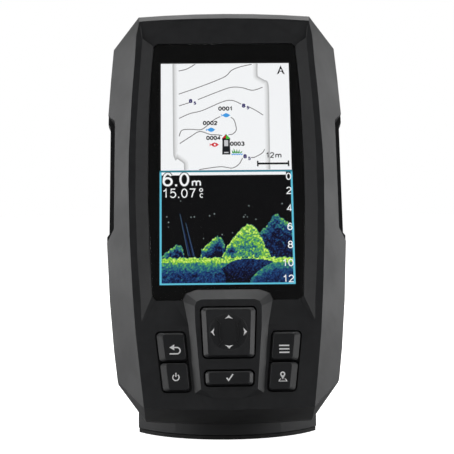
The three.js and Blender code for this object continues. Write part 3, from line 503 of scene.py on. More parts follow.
@dataclass
class Recipe:
    """A material being put together round one Principled shader."""

    name: str
    made: bpy.types.Material = field(init=False)
    shader: bpy.types.Node = field(init=False)

    def __post_init__(self) -> None:
        """Makes the material with its shader and output."""
        self.made = bpy.data.materials.new(self.name)
        self.made.use_nodes = True
        nodes = self.made.node_tree.nodes
        nodes.clear()
        self.shader = nodes.new("ShaderNodeBsdfPrincipled")
        output = nodes.new("ShaderNodeOutputMaterial")
        self.link(self.shader.outputs["BSDF"], output.inputs["Surface"])

    def node(self, kind: str) -> bpy.types.Node:
        """Adds a node of the given kind."""
        return self.made.node_tree.nodes.new(kind)

    def link(self, start: bpy.types.NodeSocket, end: bpy.types.NodeSocket) -> None:
        """Joins two sockets."""
        self.made.node_tree.links.new(start, end)

    def effect(self, group: bpy.types.NodeTree, **values: float) -> bpy.types.Node:
        """Places a shared effect.

        Args:
            group: The effect's node group.
            values: Its inputs by name, with underscores for spaces.

        Returns:
            The group node.
        """
        placed = self.node("ShaderNodeGroup")
        placed.node_tree = group
        for label, value in values.items():
            placed.inputs[label.replace("_", " ")].default_value = value
        return placed

    def mix(self, mask: bpy.types.NodeSocket, low: Colour | bpy.types.NodeSocket,
            high: Colour | bpy.types.NodeSocket) -> bpy.types.NodeSocket:
        """Mixes two colours by a mask.

        Args:
            mask: Where the second colour shows.
            low: First colour, or a socket that gives it.
            high: Second colour, or a socket that gives it.

        Returns:
            The mixed colour's socket.
        """
        blend = self.node("ShaderNodeMix")
        blend.data_type = "RGBA"
        for index, tone in zip(MIX_COLOURS, (low, high)):
            if isinstance(tone, bpy.types.NodeSocket):
                self.link(tone, blend.inputs[index])
            else:
                blend.inputs[index].default_value = (*tone, 1)
        self.link(mask, blend.inputs[0])
        return blend.outputs[MIX_RESULT]

    def spread(self, value: bpy.types.NodeSocket, low: float, high: float) -> bpy.types.NodeSocket:
        """Maps a cloud's usual range to a range of numbers.

        Args:
            value: The cloud.
            low: Number at its low end.
            high: Number at its high end.

        Returns:
            The mapped number's socket.
        """
        mapping = self.node("ShaderNodeMapRange")
        mapping.inputs["From Min"].default_value = CLOUD_LOW
        mapping.inputs["From Max"].default_value = CLOUD_HIGH
        mapping.inputs["To Min"].default_value = low
        mapping.inputs["To Max"].default_value = high
        self.link(value, mapping.inputs["Value"])
        return mapping.outputs["Result"]

    def bump(self, height: bpy.types.NodeSocket, strength: float, distance: float) -> None:
        """Drives the shader's normal by a height, whose full rise is distance metres."""
        relief = self.node("ShaderNodeBump")
        relief.inputs["Strength"].default_value = strength
        relief.inputs["Distance"].default_value = distance
        self.link(height, relief.inputs["Height"])
        self.link(relief.outputs["Normal"], self.shader.inputs["Normal"])

    def ramp(self, value: bpy.types.NodeSocket, stops: list[tuple[float, Colour]]) -> bpy.types.NodeSocket:
        """Turns a number into a colour.

        Args:
            value: The number, from 0 to 1.
            stops: Places along it, with their colours.

        Returns:
            The colour's socket.
        """
        scale = self.node("ShaderNodeValToRGB")
        elements = scale.color_ramp.elements
        for _ in stops[2:]:
            elements.new(0.5)
        for element, (spot, colour) in zip(elements, stops):
            element.position = spot
            element.color = (*colour, 1)
        self.link(value, scale.inputs["Fac"])
        return scale.outputs["Color"]


class Finish:
    """A finish that makes its material once and hands the same one out again."""

    name: str

    def material(self) -> bpy.types.Material:
        """Returns the finish's material, making it the first time."""
        return bpy.data.materials.get(self.name) or self.make()

    def make(self) -> bpy.types.Material:
        """Makes the material."""
        raise NotImplementedError


@dataclass(frozen=True)
class Moulded(Finish):
    """Moulded plastic, rubber or silicone with a fine grain, a painted highlight on its sharp edges and a
    little dust.
    """

    name: str
    colour: Colour
    # colour of the painted highlight on sharp edges
    painted_sheen_colour: Colour
    roughness: tuple[float, float] = (0.42, 0.52)
    grain_scale: float = 2600.0
    grain_strength: float = 0.25
    grain_height: float = 0.00002
    # strength of the painted highlight on sharp edges
    painted_sheen: float = 0.5
    dust: float = 0.02
    dust_colour: Colour = (0.35, 0.34, 0.32)
    specular: float = 0.5

    def make(self) -> bpy.types.Material:
        """Makes the material."""
        recipe = Recipe(self.name)
        grain = recipe.effect(Effects.grain(), Scale=self.grain_scale)
        # painted highlight: sharp edges lightened towards the highlight colour
        painted_sheen = recipe.effect(Effects.painted_edge_sheen(), Amount=self.painted_sheen)
        dust = recipe.effect(Effects.dust(), Amount=self.dust)
        base = recipe.mix(painted_sheen.outputs["Mask"], self.colour, self.painted_sheen_colour)
        dusted = recipe.mix(dust.outputs["Mask"], base, self.dust_colour)
        recipe.link(dusted, recipe.shader.inputs["Base Color"])
        gloss = recipe.spread(grain.outputs["Cloud"], *self.roughness)
        recipe.link(gloss, recipe.shader.inputs["Roughness"])
        recipe.shader.inputs["Specular IOR Level"].default_value = self.specular
        recipe.bump(grain.outputs["Height"], self.grain_strength, self.grain_height)
        return recipe.made


@dataclass(frozen=True)
class Metal(Finish):
    """Turned, plated or pressed metal with fine tool marks and a painted highlight on its sharp edges."""

    name: str
    colour: Colour
    marked: Colour
    roughness: tuple[float, float] = (0.25, 0.42)
    mark_scale: float = 1500.0

    def make(self) -> bpy.types.Material:
        """Makes the material."""
        recipe = Recipe(self.name)
        grain = recipe.effect(Effects.grain(), Scale=self.mark_scale, Cloud_Scale=400.0)
        # painted highlight: sharp edges of the metal lightened towards pale grey
        painted_sheen = recipe.effect(Effects.painted_edge_sheen(), Amount=0.6)
        tone = recipe.mix(grain.outputs["Cloud"], self.colour, self.marked)
        bright = recipe.mix(painted_sheen.outputs["Mask"], tone, (0.9, 0.9, 0.9))
        recipe.link(bright, recipe.shader.inputs["Base Color"])
        recipe.shader.inputs["Metallic"].default_value = 1.0
        recipe.link(recipe.spread(grain.outputs["Cloud"], *self.roughness), recipe.shader.inputs["Roughness"])
        recipe.bump(grain.outputs["Height"], 0.15, 0.00001)
        return recipe.made


@dataclass(frozen=True)
class Board(Finish):
    """Circuit board: solder mask with copper runs showing through it."""

    name: str = "solder_mask"
    mask: Colour = (0.012, 0.09, 0.035)
    copper: Colour = (0.03, 0.17, 0.06)

    def make(self) -> bpy.types.Material:
        """Makes the material."""
        recipe = Recipe(self.name)
        place = recipe.node("ShaderNodeTexCoord")
        runs = recipe.node("ShaderNodeTexBrick")
        runs.inputs["Scale"].default_value = 260.0
        runs.inputs["Mortar Size"].default_value = 0.08
        recipe.link(place.outputs["Object"], runs.inputs["Vector"])
        tone = recipe.mix(runs.outputs["Fac"], self.copper, self.mask)
        recipe.link(tone, recipe.shader.inputs["Base Color"])
        grain = recipe.effect(Effects.grain(), Scale=900.0)
        recipe.link(recipe.spread(grain.outputs["Cloud"], 0.25, 0.4), recipe.shader.inputs["Roughness"])
        recipe.bump(runs.outputs["Fac"], 0.3, 0.00003)
        return recipe.made


@dataclass(frozen=True)
class CoverGlass(Finish):
    """Clear cover glass."""

    name: str = "cover_glass"
    tint: Colour = (0.98, 0.99, 1.0)
    roughness: float = 0.02
    index: float = 1.5

    def make(self) -> bpy.types.Material:
        """Makes the material."""
        recipe = Recipe(self.name)
        recipe.shader.inputs["Base Color"].default_value = (*self.tint, 1)
        recipe.shader.inputs["Roughness"].default_value = self.roughness
        recipe.shader.inputs["IOR"].default_value = self.index
        recipe.shader.inputs["Transmission Weight"].default_value = 1.0
        return recipe.made


@dataclass(frozen=True)
class Lit(Finish):
    """Lit picture element of the display, a little uneven as a backlight is."""

    name: str
    colour: Colour
    uneven: float = 0.04
    strength: float = 1.0

    def make(self) -> bpy.types.Material:
        """Makes the material."""
        recipe = Recipe(self.name)
        recipe.shader.inputs["Base Color"].default_value = (0, 0, 0, 1)
        recipe.shader.inputs["Roughness"].default_value = 0.6
        recipe.shader.inputs["Specular IOR Level"].default_value = 0.05
        cloud = recipe.effect(Effects.grain(), Cloud_Scale=40.0).outputs["Cloud"]
        darker = tuple(value * (1 - self.uneven) for value in self.colour)
        recipe.link(recipe.mix(cloud, self.colour, darker), recipe.shader.inputs["Emission Color"])
        recipe.shader.inputs["Emission Strength"].default_value = self.strength
        return recipe.made


@dataclass(frozen=True)
class Scale(Finish):
    """Lit picture whose colour follows a number stored on the mesh."""

    name: str
    attribute: str
    stops: tuple[tuple[float, Colour], ...]
    speckle: float = 0.0
    speckle_scale: float = 1400.0

    def make(self) -> bpy.types.Material:
        """Makes the material."""
        recipe = Recipe(self.name)
        recipe.shader.inputs["Base Color"].default_value = (0, 0, 0, 1)
        recipe.shader.inputs["Roughness"].default_value = 0.6
        recipe.shader.inputs["Specular IOR Level"].default_value = 0.05
        stored = recipe.node("ShaderNodeAttribute")
        stored.attribute_name = self.attribute
        value = stored.outputs["Fac"]
        if self.speckle:
            grain = recipe.effect(Effects.grain(), Scale=self.speckle_scale)
            factor = recipe.spread(grain.outputs["Height"], 1 - self.speckle, 1 + self.speckle)
            product = recipe.node("ShaderNodeMath")
            product.operation = "MULTIPLY"
            product.use_clamp = True
            recipe.link(value, product.inputs[0])
            recipe.link(factor, product.inputs[1])
            value = product.outputs["Value"]
        recipe.link(recipe.ramp(value, list(self.stops)), recipe.shader.inputs["Emission Color"])
        recipe.shader.inputs["Emission Strength"].default_value = 1.0
        return recipe.made


# The second colour of each moulded finish is its painted highlight on sharp edges.
CASE_BLACK = Moulded("case_black", (0.0068, 0.0072, 0.0083), (0.03, 0.031, 0.034))
KEY_BLACK = Moulded("key_black", (0.012, 0.0125, 0.014), (0.04, 0.041, 0.044), roughness=(0.38, 0.46),
                    grain_strength=0.12)
MOUNT_BLACK = Moulded("mount_black", (0.014, 0.0145, 0.016), (0.035, 0.036, 0.04), grain_strength=0.35,
                      grain_scale=1800.0, roughness=(0.45, 0.6))
SEAL_RUBBER = Moulded("seal_rubber", (0.008, 0.008, 0.008), (0.02, 0.02, 0.02), roughness=(0.75, 0.9))
KEY_SILICONE = Moulded("keypad_silicone", (0.05, 0.051, 0.055), (0.08, 0.08, 0.085), roughness=(0.6, 0.75))
ANTENNA_CERAMIC = Moulded("antenna_ceramic", (0.66, 0.6, 0.42), (0.8, 0.75, 0.6), roughness=(0.35, 0.5))
PANEL_BLACK = Moulded("panel_black", (0.003, 0.003, 0.0035), (0.006, 0.006, 0.006), roughness=(0.25, 0.3),
                      grain_strength=0.02, painted_sheen=0.0, dust=0.0)
MASK_BLACK = Moulded("mask_ink", (0.0012, 0.0013, 0.0015), (0.002, 0.002, 0.002), roughness=(0.35, 0.4),
                     grain_strength=0.02, painted_sheen=0.0, dust=0.0, specular=0.1)
KEY_INK = Moulded("key_ink", (0.9, 0.9, 0.9), (0.95, 0.95, 0.95), roughness=(0.45, 0.55),
                  grain_strength=0.05, painted_sheen=0.1, dust=0.0)
KEY_MARK = Moulded("key_mark", (0.022, 0.022, 0.024), (0.04, 0.04, 0.042), roughness=(0.4, 0.5),
                   grain_strength=0.1, painted_sheen=0.2)
STEEL = Metal("stainless_steel", (0.58, 0.58, 0.59), (0.46, 0.46, 0.48))
TIN = Metal("tinned_sheet", (0.66, 0.67, 0.69), (0.56, 0.57, 0.6), roughness=(0.3, 0.45))
GOLD = Metal("contact_gold", (0.83, 0.6, 0.25), (0.74, 0.5, 0.2), roughness=(0.2, 0.35))
SOLDER_MASK = Board()
COVER_GLASS = CoverGlass()

LAYER = 0.04  # depth between two layers of the picture
CHART_WHITE = Lit("chart_white", (0.98, 0.985, 0.99), 0.01)
MARK_BLUE = Lit("mark_blue", (0.06, 0.36, 0.83))

SLOT_FINISHES: dict[Slot, Finish] = {
    Slot.CASE: MOUNT_BLACK, Slot.KEY: KEY_BLACK, Slot.GLASS: COVER_GLASS, Slot.SCREEN: PANEL_BLACK,
    Slot.SILICONE: KEY_SILICONE, Slot.RUBBER: SEAL_RUBBER, Slot.BOARD: SOLDER_MASK, Slot.SHEET: TIN,
    Slot.STEEL: STEEL, Slot.CERAMIC: ANTENNA_CERAMIC, Slot.GOLD: GOLD,
}


# ---- Finer copies of CAD nodes ----------------------------------------------------------------


SPLITS = (0, 21.3, -21.3, 39.5, -39.5)  # where wide flats with holes in them are divided
FLAT = 0.4  # faces that meet at less than this many degrees become one
WELD, ON_PLANE = 1e-6, 1e-7  # metres within which corners are one, and lie on a plane


@dataclass(frozen=True)
class Edges:
    """How a moulding's edges are rounded, in millimetres and degrees.

    An edge at least as sharp as angle is rounded to width. crease is the angle from which the
    edges that stay keep a crisp shadow line.
    """

    width: float = 0.3
    angle: float = 28.0
    crease: float = 18.0
    steps: int = 2


def clean_mesh(node: str, name: str, sharp: float = 28.0, splits: tuple[float, ...] = SPLITS
               ) -> bpy.types.Mesh:
    """Copies a CAD node's mesh, with its corners merged and its flat stretches as single faces.

    Args:
        node: The CAD node.
        name: Name of the new mesh.
        sharp: Outward edges at least this sharp are marked for rounding.
        splits: Where wide flats are divided, to the right in millimetres.

    Returns:
        The new mesh.
    """
    work = bmesh.new()
    work.from_mesh(frame["nodes"][node].data)
    bmesh.ops.remove_doubles(work, verts=work.verts, dist=WELD)
    for x in splits:
        split = bmesh.ops.bisect_plane(work, geom=[*work.verts, *work.edges, *work.faces], dist=ON_PLANE,
                                       plane_co=(x * MM, 0, 0), plane_no=(1, 0, 0))
        for line in split["geom_cut"]:
            if isinstance(line, bmesh.types.BMEdge):
                line.seam = True
    bmesh.ops.dissolve_limit(work, angle_limit=math.radians(FLAT), verts=work.verts, edges=work.edges,
                             delimit={"SEAM"})
    weight = work.edges.layers.float.new("bevel_weight_edge")
    for line in work.edges:
        line[weight] = float(line.calc_face_angle_signed(0.0) > math.radians(sharp))
    mesh = bpy.data.meshes.new(name)
    work.to_mesh(mesh)
    work.free()
    if "custom_normal" in mesh.attributes:
        mesh.attributes.remove(mesh.attributes["custom_normal"])
    return mesh


def refine(node: str, name: str, finish: Finish, body: Body, edges: Edges = Edges()
           ) -> bpy.types.Object:
    """Replaces a CAD node by a finer copy with rounded edges and clean shading.

    Args:
        node: The CAD node.
        name: Name of the finer piece.
        finish: Its finish.
        body: The body it rides on.
        edges: How its edges are rounded.

    Returns:
        The piece.
    """
    mesh = clean_mesh(node, name, sharp=edges.angle)
    mesh.shade_smooth()
    mesh.set_sharp_from_angle(angle=math.radians(edges.crease))
    piece = add_piece(name, mesh, finish, body, (node,))
    round_edges(piece, edges)
    return piece


def round_edges(piece: bpy.types.Object, edges: Edges) -> None:
    """Adds the modifiers that round a piece's edges and keep its flats flat."""
    rounding = piece.modifiers.new("rounded_edges", "BEVEL")
    rounding.width = edges.width * MM
    rounding.segments = edges.steps
    rounding.limit_method = "WEIGHT"
    rounding.use_clamp_overlap = True
    rounding.miter_outer = "MITER_ARC"
    flats = piece.modifiers.new("flat_faces", "WEIGHTED_NORMAL")
    flats.keep_sharp = True


def dress_rest(done: set[str]) -> None:
    """Gives every CAD node that stays in view the finish of its record slot.

    Args:
        done: Nodes that other pieces stand for.
    """
    slots = {row["node"]: Slot(row["material_slot"]) for row in frame["record"]["subparts"]}
    for node, shape in frame["nodes"].items():
        if node in done:
            continue
        shape.data.materials.clear()
        shape.data.materials.append(SLOT_FINISHES[slots[node]].material())
        LOG.info("%s keeps its CAD shape", node)


# ---- Sub-assemblies ---------------------------------------------------------------------------


@dataclass
class Case:
    """Front bezel and rear housing of the head."""

    bezel_edge: float = 0.35
    housing_edge: float = 0.6

    def build(self) -> set[str]:
        """Makes the two shells. Returns the CAD nodes that they stand for."""
        refine("front_bezel", "bezel_shell", CASE_BLACK, Body.HEAD, Edges(self.bezel_edge, 22, 15))
        refine("rear_housing", "housing_shell", CASE_BLACK, Body.HEAD, Edges(self.housing_edge))
        return {"front_bezel", "rear_housing"}


@dataclass
class Display:
    """Cover glass, its printed border and the lit picture behind it."""

    half_width: float = 26.95
    half_height: float = 47.5
    mask_depth: float = -0.66
    mask_thickness: float = 0.05
    picture_depth: float = 0.4
    line_depth: float = 0.32
    label_depth: float = 0.24
    split: float = 0.65
    frame_width: float = 0.75

    def build(self) -> set[str]:
        """Makes every layer of the display. Returns the CAD nodes that they stand for."""
        refine("display_lens", "lens_pane", COVER_GLASS, Body.HEAD, Edges(0.12, 40, 30))
        self.build_mask()
        ChartView(self).build()
        SonarView(self).build()
        return {"display_lens"}

    def build_mask(self) -> None:
        """Black border printed behind the glass, with a window over the picture."""
        lens = clean_mesh("display_lens", "lens_outline", splits=())
        inverse = HEAD.matrix.inverted()
        front = max(lens.polygons, key=lambda face: face.area)
        outline = [inverse @ lens.vertices[i].co for i in front.vertices]
        border = Artwork(self.mask_depth, self.mask_thickness).plate([(p.x, p.z) for p in outline])
        mesh = bpy.data.meshes.new("lens_border")
        mesh.from_pydata(border.corners, [], border.faces)
        window = Artwork(self.mask_depth - 1, 2)
        window.plate(box_outline(-self.half_width, -self.half_height, self.half_width, self.half_height))
        cut_out(mesh, window)
        add_piece("lens_border", mesh, MASK_BLACK, Body.HEAD)
        bpy.data.meshes.remove(lens)


def cut_out(mesh: bpy.types.Mesh, tool: Artwork) -> None:
    """Cuts plates out of a mesh in place.

    Args:
        mesh: The mesh to cut.
        tool: The plates.
    """
    cutter_mesh = bpy.data.meshes.new("cutter")
    cutter_mesh.from_pydata(tool.corners, [], tool.faces)
    carve(mesh, cutter_mesh)


def carve(mesh: bpy.types.Mesh, cutter_mesh: bpy.types.Mesh) -> None:
    """Cuts one closed mesh out of another in place, and throws the cutter away.

    Args:
        mesh: The mesh to cut.
        cutter_mesh: What is cut out of it.
    """
    scene = bpy.context.scene
    holder = bpy.data.objects.new("holder", mesh)
    cutter = bpy.data.objects.new("cutter", cutter_mesh)
    for thing in (holder, cutter):
        scene.collection.objects.link(thing)
    cutting = holder.modifiers.new("cut", "BOOLEAN")
    cutting.object = cutter
    cutting.solver = "EXACT"
    result = bpy.data.meshes.new_from_object(holder.evaluated_get(bpy.context.evaluated_depsgraph_get()))
    work = bmesh.new()
    work.from_mesh(result)
    work.to_mesh(mesh)
    work.free()
    for thing in (holder, cutter):
        bpy.data.objects.remove(thing)
    for waste in (result, cutter_mesh):
        bpy.data.meshes.remove(waste)


@dataclass
class ChartView:
    """Upper half of the picture: a depth chart with marks, a boat and a scale."""

    display: Display
    left: float = -26.2
    right: float = 26.4
    bottom: float = 0.7
    top: float = 47.5
    line_width: float = 0.34
    contours: tuple[tuple[Point, ...], ...] = (
        ((-18.9, 44.2), (-15.5, 45.1), (-12.1, 47.2)),
        ((-18.9, 33.9), (-10.7, 36.9), (-2.9, 40.1), (0.7, 42), (2.9, 44.4), (6.4, 45.9), (11.1, 47)),
        ((-18.8, 28.7), (-14.6, 30.1)),
        ((-11.1, 31.4), (-1.5, 35.4), (2.8, 36.8), (7, 36.6), (11.3, 35.4), (15.4, 36.7)),
        ((-18.8, 23.2), (-14.3, 25.3), (-9.3, 26.6), (-1.5, 30.2), (2.7, 31), (6.6, 29.3)),
        ((9.6, 28.1), (12.6, 26.4), (15.4, 24.4)),
        ((-18.8, 15.4), (-17.6, 18), (-14, 18.4), (-10, 18.2), (-7.2, 20.1), (-4.7, 22.4), (-2, 23.9)),
        ((2.3, 23.5), (3.6, 22.2), (4.4, 18.2), (3, 16.3), (1.2, 15.9)),
        ((-1.4, 15.6), (-3.4, 15.9), (-6.2, 16.1), (-10.4, 17.4), (-13.9, 15.4), (-18.6, 12.2)),
        ((-10.8, 0.9), (-6.6, 1.6), (-1.7, 2.1), (2.5, 1.5), (5.3, 3.2), (6.7, 5.8)),
        ((10, 6), (11.6, 6.1), (14.6, 7.8), (15.7, 9.5)),
    )
    lane_left: tuple[Point, ...] = (
        (-21.4, 47.4), (-21.3, 24), (-21.2, 8.8), (-20.7, 7.2), (-18.3, 5.3), (-17, 3.8), (-16.9, 0.8),
    )
    lane_right: tuple[Point, ...] = (
        (13.6, 47.4), (13.5, 42.4), (14.1, 40.7), (16.9, 38.8), (18, 36.6), (17.9, 20), (17.8, 0.8),
    )
    lane_width: float = 2.4
    weeds: tuple[tuple[float, float, float], ...] = (
        (3, 9.2, -0.5), (3.7, 10, -0.5), (4.4, 9.7, 0.1), (5.1, 9.5, 0.5), (5.9, 8.9, 0.8),
    )

    def build(self) -> None:
        """Makes the chart's layers."""
        depth = self.display.picture_depth
        paper = Artwork(depth, 0.1).plate(box_outline(self.left, self.bottom, self.right, self.top))
        paper.show("chart_field", CHART_WHITE)
        self.build_lane(depth - LAYER)
        lines = Artwork(self.display.line_depth)
        for contour in self.contours:
            lines.ribbon(smooth_path(list(contour), 5), self.line_width)
        lines.show("chart_contours", Lit("contour_grey", (0.16, 0.15, 0.15)))
        self.build_labels()
        self.build_marks()
        self.build_boat()

    def build_lane(self, depth: float) -> None:
        """Soft grey border down each side of the charted lane."""
        lane = Artwork(depth)
        for path, side in ((self.lane_left, 1), (self.lane_right, -1)):
            middle = [(x + side * self.lane_width / 2, z) for x, z in path]
            shades = (1.0, 0.0) if side > 0 else (0.0, 1.0)
            lane.ribbon(smooth_path(middle, 6), self.lane_width, shades=shades)
        fade = Scale("lane_grey", "shade", ((0.0, (0.42, 0.42, 0.42)), (0.35, (0.74, 0.74, 0.74)),
                                            (0.9, (0.98, 0.985, 0.99))))
        lane.show("chart_lane", fade)

    def build_labels(self) -> None:
        """Black numbers, the scale bar and the north arrow."""
        ink = Artwork(self.display.label_depth)
        for number, (x, z) in (("0001", (0.1, 26.4)), ("0002", (-6.2, 20.1)), ("0004", (-4.9, 13.6)),
                               ("0003", (4.7, 11))):
            ink.lettering(number, x - 2.95, z, 1.9, 0.46, 5.9)
        ink.lettering("12", 16.2, 5.7, 2.5, 0.4, 3.3)
        ink.lettering("m", 19.95, 5.7, 1.75, 0.4, 2.5)
        ink.plate(box_outline(12.8, 2.9, 25.2, 3.7))
        for x in (12.5, 24.9):
            ink.plate(box_outline(x, 2.1, x + 0.6, 4.5))
        ink.plate([(23.05, 46.4), (21.4, 42.3), (22.4, 42.9), (22.5, 43.6), (23.6, 43.6), (23.7, 42.9),
                   (24.7, 42.3)])
        ink.show("chart_labels", Lit("label_black", (0.004, 0.004, 0.006)))
        depths = Artwork(self.display.label_depth)
        for x, z in ((-14.1, 29.9), (7.5, 27.7), (7.7, 5.6)):
            depths.lettering("8", x - 0.7, z, 1.8, 0.5, 1.5)
            depths.lettering("5", x + 1.2, z - 0.8, 1.5, 0.36, 1.1)
        depths.show("chart_depths", Lit("depth_navy", (0.03, 0.02, 0.14)))
        dot = Artwork(self.display.label_depth - LAYER).plate(arc(23.05, 44.3, 0.4, steps=12))
        dot.show("north_dot", CHART_WHITE)

    def fish(self, x: float, z: float, length: float = 3.9) -> list[Point]:
        """Outline of a plain fish that faces right.

        Args:
            x: Middle of the fish.
            z: Middle of the fish, up the face.
            length: Nose to tail.

        Returns:
            Its outline.
        """
        shape = [(0.5, 0), (0.28, 0.17), (0.05, 0.25), (-0.18, 0.14), (-0.3, 0.03), (-0.48, 0.17),
                 (-0.42, 0), (-0.48, -0.17), (-0.3, -0.03), (-0.18, -0.14), (0.05, -0.25), (0.28, -0.17)]
        return [(x + u * length, z + v * length) for u, v in shape]

    def build_marks(self) -> None:
        """Fish and weed marks."""
        depth = self.display.label_depth
        blue = Artwork(depth).plate(self.fish(0.1, 24.4)).plate(self.fish(-6.1, 18.1))
        blue.show("fish_marks", MARK_BLUE)
        red = Artwork(depth).plate(self.fish(-4.7, 11.6))
        red.show("hazard_mark", Lit("mark_red", (0.72, 0.015, 0.03)))
        eye = Artwork(depth - LAYER).plate(arc(-4.4, 11.6, 0.42, steps=12))
        eye.show("hazard_eye", CHART_WHITE)
        weed = Artwork(depth)
        for foot, tip, lean in self.weeds:
            weed.plate([(foot - 0.45, 7.9), (foot + 0.45, 7.9), (foot + lean, tip)])
        weed.show("weed_mark", Lit("mark_green", (0.02, 0.32, 0.035)))
        waves = [(2.3 + 0.45 * i, 7.4 + 0.22 * (-1) ** i) for i in range(11)]
        water = Artwork(depth).ribbon(smooth_path(waves, 2), 0.35)
        water.show("weed_water", MARK_BLUE)

    def build_boat(self) -> None:
        """The boat, seen from above, with its red and green bow lights."""
        depth = self.display.label_depth - LAYER
        x, low, high, half = 0.2, 7.3, 16.2, 1.65
        side = [(half, low), (half * 0.9, low + 5.6), (half, low + 7)]
        hull = Artwork(depth)
        hull.plate([(x - half, low), *((x + a, b) for a, b in side), (x, high),
                    *((x - a, b) for a, b in side[:0:-1])])
        hull.show("boat_hull", Lit("hull_black", (0.01, 0.012, 0.015)))
        for name, finish, outline in (
            ("boat_port", Lit("port_red", (0.65, 0.01, 0.02)),
             [(x - half, low + 6.9), (x - 0.1, low + 7.2), (x - 0.1, high - 0.3)]),
            ("boat_starboard", Lit("starboard_green", (0.06, 0.55, 0.04)),
             [(x + 0.1, high - 0.2), (x - 0.1, low + 6.6), (x + half, low + 6.9)]),
        ):
            Artwork(depth - LAYER).plate(outline).show(name, finish)
        deck = Artwork(depth - LAYER).plate(box_outline(x - 0.8, low + 3.6, x + 0.8, low + 6.2))
        deck.plate(box_outline(x - 0.9, low + 0.6, x + 0.9, low + 1.1))
        deck.show("boat_deck", Lit("deck_grey", (0.62, 0.62, 0.64)))


